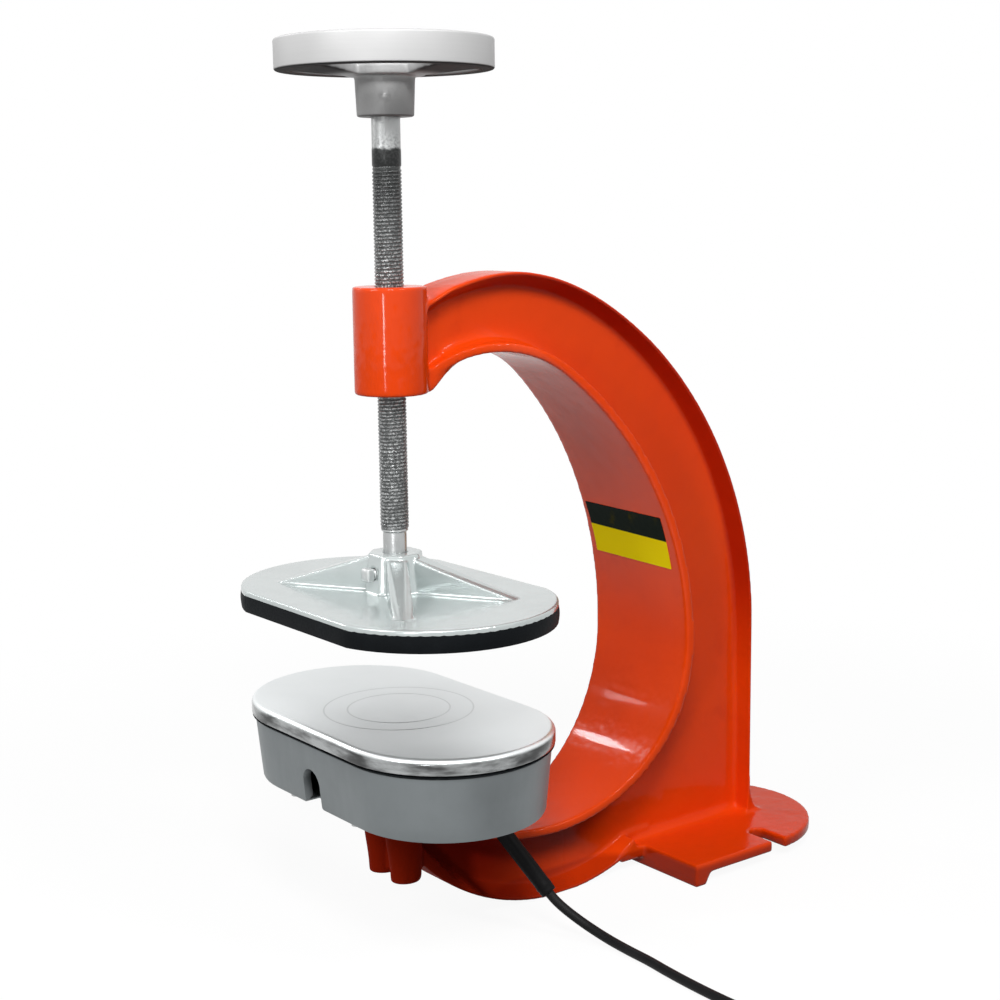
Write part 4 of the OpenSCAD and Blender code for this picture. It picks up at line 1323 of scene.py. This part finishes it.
class VULCANIZER_OT_press_plate(bpy.types.Operator):
    """Cast the pressure plate and give it its pad and square headed screw"""

    bl_idname = "vulcanizer.press_plate"
    bl_label = "Pressure plate"

    def execute(self, context):
        s, colours = context.scene.casting_sizes, context.scene.finish_colours
        plate = cast_skin(
            "press_plate", "pressure_plate", rib_meshes(s), s.plate_voxel, s.plate_smoothing, 90000
        )
        silver = cast_silver("plate_silver", colours.plate, 0.14, 0.60)
        dress(plate, silver, "plate", "press_casting", "pressure_plate")
        pad = slab_mesh("pad", "rubber_pad", 0.6 * MM, 0.6 * MM, 88.5 * MM, 2.2 * MM)
        rubber = dull_finish("pad_rubber", tint(colours.rubber, 0.6), 0.50, 500.0, 0.0002, 1.9, 0.06)
        add_piece("pad", pad, rubber, "plate", "pad_rubber", "rubber_pad")
        zinc = satin_metal("screw_zinc", tint(colours.steel, 1.25), 0.26)
        add_piece("square_screw", square_screw_mesh(), zinc, "plate", "zinc_steel", "retaining_screw")
        return {"FINISHED"}


# Share of a rib's length and of its width there
RIB_SHAPE = (
    (0.1, 1.0), (0.18, 1.0), (0.5, 1.0), (0.8, 0.97), (0.92, 0.88), (0.97, 0.72), (1.0, 0.4),
)


def rib_meshes(s):
    """Full bodied ribs from the boss to their pointed tips."""
    low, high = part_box("pressure_plate")
    rim = low.z + 5 * MM
    rise = high.z - 3.2 * MM - rim
    reach = (s.rib_x ** 2 + s.rib_y ** 2) ** 0.5
    first = atan2(s.rib_y, s.rib_x)
    made = []
    for turn in (first, pi - first, pi + first, -first):
        rings = []
        for f, wide in RIB_SHAPE:
            away = reach * f
            top = rim + rise * min(1.0, (reach - away) / (reach - s.boss_r)) - 0.3 * MM
            half = s.rib_half * wide
            rings.append([
                Vector((AXIS_X + away * cos(turn) - v * sin(turn), away * sin(turn) + v * cos(turn), z))
                for v, z in ((-half, rim - MM), (half, rim - MM), (half, top), (-half, top))
            ])
        made.append(loft("rib", rings))
    return made


def square_screw_mesh():
    """A square headed set screw along X, with a domed head."""
    low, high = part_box("retaining_screw")
    half = (high.z - low.z) / 2
    mid_z = middle("retaining_screw").z
    head = 6 * MM
    rings = []

    def square(side, x, turn_in):
        ring = []
        for corner in range(4):
            for k in range(6):
                turn = pi / 2 * corner + pi / 2 * k / 5
                hub = side - turn_in
                y = hub * (1 if corner in (0, 3) else -1) + turn_in * cos(turn)
                z = hub * (1 if corner in (0, 1) else -1) + turn_in * sin(turn)
                ring.append(Vector((x, y, mid_z + z)))
        return ring

    for side, step, turn_in in (
        (0.55, 0.0, 0.55), (0.80, 0.25, 0.6), (0.94, 0.7, 0.45), (1.0, 1.3, 0.2), (1.0, 4.6, 0.2),
        (0.97, 5.5, 0.25), (0.86, 6.0, 0.4), (0.60, 6.0, 0.6),
    ):
        rings.append(square(half * side, low.x + step * MM, half * side * turn_in))
    shank = 3.9 * MM
    run = high.x - low.x - head
    for k in range(15):
        groove = 0.35 * MM if k % 2 else 0.0
        rings.append(square(shank - groove, low.x + head + run * k / 14, shank - groove))
    return smooth(loft("square_screw", rings), 35)


class VULCANIZER_OT_screw(bpy.types.Operator):
    """Cut the press screw with its helical thread, shank and pin"""

    bl_idname = "vulcanizer.screw"
    bl_label = "Press screw"

    def execute(self, context):
        sizes, colours = context.scene.fitting_sizes, context.scene.finish_colours
        low, high = (corner.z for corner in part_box("press_screw"))
        first, last = sizes.thread_low, sizes.thread_high
        root = sizes.thread_r - sizes.thread_depth
        step, shoulder, end = last + 10.2 * MM, 600 * MM, min(high, 612 * MM)
        shank = (
            (root - 0.4 * MM, last - 4 * MM), (root + 0.05 * MM, last - 2.5 * MM),
            (9.7 * MM, last - 2.0 * MM), (10.1 * MM, last - 1.5 * MM), (10.1 * MM, last + 9.5 * MM),
            (9.92 * MM, step), (9.92 * MM, shoulder), (9.5 * MM, end),
        )
        pin = (
            (6.0 * MM, low), (7.4 * MM, low + 0.4 * MM), (8.2 * MM, low + 1.2 * MM),
            (8.45 * MM, low + 2 * MM), (8.45 * MM, first - 3.0 * MM), (8.3 * MM, first - 1.6 * MM),
            (8.3 * MM, first - 0.4 * MM), (root + 0.1 * MM, first + 0.6 * MM),
            (root - 0.4 * MM, first + 5 * MM),
        )
        greasy = thread_finish(colours, sizes)
        smeared = shank_finish(colours, step)
        bright = turned_metal("turned_steel", colours.steel, 0.22, 1500.0, 0.95, 0.45)
        for name, mesh, finish in (
            ("screw_thread", thread_mesh(sizes), greasy),
            ("screw_shank", smooth(turn_piece("screw_shank", shank, ON_AXIS)), smeared),
            ("screw_pin", smooth(turn_piece("screw_pin", pin, ON_AXIS)), bright),
        ):
            add_piece(name, mesh, finish, "screw", "screw_steel", "press_screw")
        return {"FINISHED"}


def thread_mesh(sizes):
    """A single start thread that fades out at both ends."""
    steps = 36
    section = ((0.0, 0.0), (0.08, 0.0), (0.30, 1.0), (0.72, 1.0), (0.94, 0.0))
    low = sizes.thread_low
    turns = int((sizes.thread_high - low) / sizes.pitch) - 1
    root = sizes.thread_r - sizes.thread_depth
    points = []
    total = turns * steps
    for i in range(total + 1):
        turn = 2 * pi * i / steps
        full = min(1.0, i / steps, (total - i) / steps)
        for f, rise in section:
            radius = root + sizes.thread_depth * rise * full
            z = low + sizes.pitch * (i / steps + f)
            points.append((AXIS_X + radius * cos(turn), radius * sin(turn), z))
    rows = len(section)
    faces = []
    for i in range(total):
        for k in range(rows):
            a, b = i * rows + k, (i + 1) * rows + k
            if k < rows - 1:
                faces.append((a, b, b + 1, a + 1))
            elif i + steps < total:
                faces.append((a, b, (i + 1 + steps) * rows, (i + steps) * rows))
    mesh = mesh_from("screw_thread", points, faces)
    with mesh_work(mesh) as work:
        rims = [edge for edge in work.edges if edge.is_boundary]
        bmesh.ops.holes_fill(work, edges=rims, sides=0)
        bmesh.ops.recalc_face_normals(work, faces=work.faces)
    return smooth(mesh, 30)


class VULCANIZER_OT_wheel(bpy.types.Operator):
    """Cast and turn the handwheel"""

    bl_idname = "vulcanizer.wheel"
    bl_label = "Handwheel"

    def execute(self, context):
        s, colours = context.scene.casting_sizes, context.scene.finish_colours
        outer, _, low, high = half_sizes("handwheel")
        bright = rim_finish(colours, outer, high - s.rim_h)
        add_piece("wheel_rim", rim_mesh(s, outer, high), bright, "screw", "wheel", "handwheel")
        bore = outer - s.rim_t
        profile = [(bore - 0.4 * MM, z) for z in (low - MM, high + MM)]
        spider = cast_skin(
            "wheel_spider", "handwheel", [hub_pin_mesh(0.4 * MM, 0.3 * MM)], s.wheel_voxel,
            s.smoothing, 40000, keep=turn_piece("disc", profile, ON_AXIS, 160),
            shape=stretch_spokes(bore),
        )
        hub_top = high - s.rim_h - 4 * MM
        dress(spider, spoke_finish(colours, low, hub_top), "screw", "wheel", "handwheel")
        steel = satin_metal("pin_steel", tint(colours.silver, 0.72), 0.34)
        pin = hub_pin_mesh(-1.2 * MM, 0.5 * MM)
        add_piece("wheel_pin", pin, steel, "screw", "zinc_steel", "hub_pin")
        return {"FINISHED"}


def stretch_spokes(bore):
    """Draws the ends of the spokes into the rim."""
    def shape(spots):
        x, y = spots[:, 0] - AXIS_X, spots[:, 1]
        radius = np.hypot(x, y)
        scale = 1 + 4 * MM * fade(radius - bore, -9, -1) / np.maximum(radius, MM)
        spots[:, 0] = AXIS_X + x * scale
        spots[:, 1] = y * scale
        return spots

    return shape


def rim_mesh(s, outer, top):
    """The turned rim with soft edges."""
    edge = 1.7 * MM
    inner = outer - s.rim_t
    low = top - s.rim_h
    section = []
    for r, z, first in (
        (outer - edge, low + edge, -90), (outer - edge, top - edge, 0),
        (inner + edge, top - edge, 90), (inner + edge, low + edge, 180),
    ):
        for k in range(7):
            turn = radians(first + 15 * k)
            section.append((r + edge * cos(turn), z + edge * sin(turn)))
    rings = [round_ring(r, z, 160) for r, z in section]
    mesh = loft("wheel_rim", rings, loop=True)
    mesh.transform(ON_AXIS)
    return smooth(mesh)


def hub_pin_mesh(wider, longer):
    """The cross pin of the hub with softly domed ends."""
    low, high = half_sizes("hub_pin")[2:]
    mid = middle("hub_pin")
    half = 20.5 * MM + longer
    turn = radians(235)
    way = Vector((cos(turn), sin(turn), 0))
    size = (high - low) / 2 + wider
    profile = [(size * 0.5, -half), (size * 0.9, -half + 0.3 * MM), (size, -half + 0.9 * MM)]
    profile += [(r, -z) for r, z in reversed(profile)]
    return smooth(turn_piece("hub_pin", profile, along(mid, mid + way), 32))


class VULCANIZER_OT_fittings(bpy.types.Operator):
    """Give the inner and small parts their finishes"""

    bl_idname = "vulcanizer.fittings"
    bl_label = "Fittings"

    def execute(self, context):
        colours = context.scene.finish_colours
        zinc = satin_metal("zinc_steel", tint(colours.steel, 1.1), 0.28)
        mica = dull_finish("mica", (0.46, 0.36, 0.22), 0.30, 260.0, 0.0003, 1.4)
        board = dull_finish("insulation_board", (0.55, 0.52, 0.46), 0.70, 380.0, 0.0004, 1.2)
        brown = dull_finish("thermostat_brown", (0.10, 0.045, 0.02), 0.38, 500.0, 0.0002, 1.5)
        porcelain = dull_finish("porcelain", (0.72, 0.70, 0.64), 0.16, 90.0, 0.0002, 1.15)
        brass = turned_metal("tail_brass", (0.62, 0.45, 0.18), 0.28, 900.0, 1.0, 0.3)
        nickel = satin_metal("pin_nickel", (0.62, 0.60, 0.56), 0.20)
        plastic = dull_finish("gland_plastic", tint(colours.black, 1.2), 0.36, 700.0, 0.00012, 1.8)
        hard = turned_metal("hard_steel", colours.steel, 0.24, 1200.0, 0.95, 0.3)
        for finish, nodes in (
            (zinc, ("element_clamp", "clamp_studs", "clamp_nuts")),
            (zinc, ("cover_screws", "mounting_bolts", "bolt_washers")),
            (mica, ("heating_element",)),
            (board, ("insulation_board",)),
            (brown, ("thermostat",)),
            (porcelain, ("terminal_block",)),
            (brass, ("element_tails",)),
            (nickel, ("plug_pins",)),
            (plastic, ("cord_gland",)),
            (hard, ("thrust_disc",)),
        ):
            for node in nodes:
                refinish(node, finish)
        return {"FINISHED"}


class VULCANIZER_PT_panel(bpy.types.Panel):
    """Lists the pieces, sizes and colours of the press"""

    bl_idname = "VULCANIZER_PT_panel"
    bl_label = "Vulcanizer"
    bl_space_type = "VIEW_3D"
    bl_region_type = "UI"
    bl_category = "Vulcanizer"

    def draw(self, context):
        column = self.layout.column()
        for operator in OPERATORS:
            column.operator(operator.bl_idname)
        scene = context.scene
        for group in (scene.casting_sizes, scene.fitting_sizes, scene.finish_colours):
            for name in group.bl_rna.properties.keys():
                if name not in ("rna_type", "name"):
                    column.prop(group, name)


GROUPS = (CastingSizes, FittingSizes, FinishColours)
OPERATORS = (
    VULCANIZER_OT_stage, VULCANIZER_OT_lead, VULCANIZER_OT_casting, VULCANIZER_OT_sticker,
    VULCANIZER_OT_heater, VULCANIZER_OT_press_plate, VULCANIZER_OT_screw, VULCANIZER_OT_wheel,
    VULCANIZER_OT_fittings,
)
CLASSES = GROUPS + OPERATORS + (VULCANIZER_PT_panel,)


def register():
    for kind in CLASSES:
        bpy.utils.register_class(kind)
    bpy.types.Scene.casting_sizes = PointerProperty(type=CastingSizes)
    bpy.types.Scene.fitting_sizes = PointerProperty(type=FittingSizes)
    bpy.types.Scene.finish_colours = PointerProperty(type=FinishColours)


def unregister():
    del bpy.types.Scene.finish_colours
    del bpy.types.Scene.fitting_sizes
    del bpy.types.Scene.casting_sizes
    for kind in reversed(CLASSES):
        bpy.utils.unregister_class(kind)


def main():
    register()
    bpy.ops.vulcanizer.stage()
    bpy.ops.vulcanizer.lead()
    bpy.ops.vulcanizer.casting()
    bpy.ops.vulcanizer.sticker()
    bpy.ops.vulcanizer.heater()
    bpy.ops.vulcanizer.press_plate()
    bpy.ops.vulcanizer.screw()
    bpy.ops.vulcanizer.wheel()
    bpy.ops.vulcanizer.fittings()


if __name__ == "__main__":
    main()
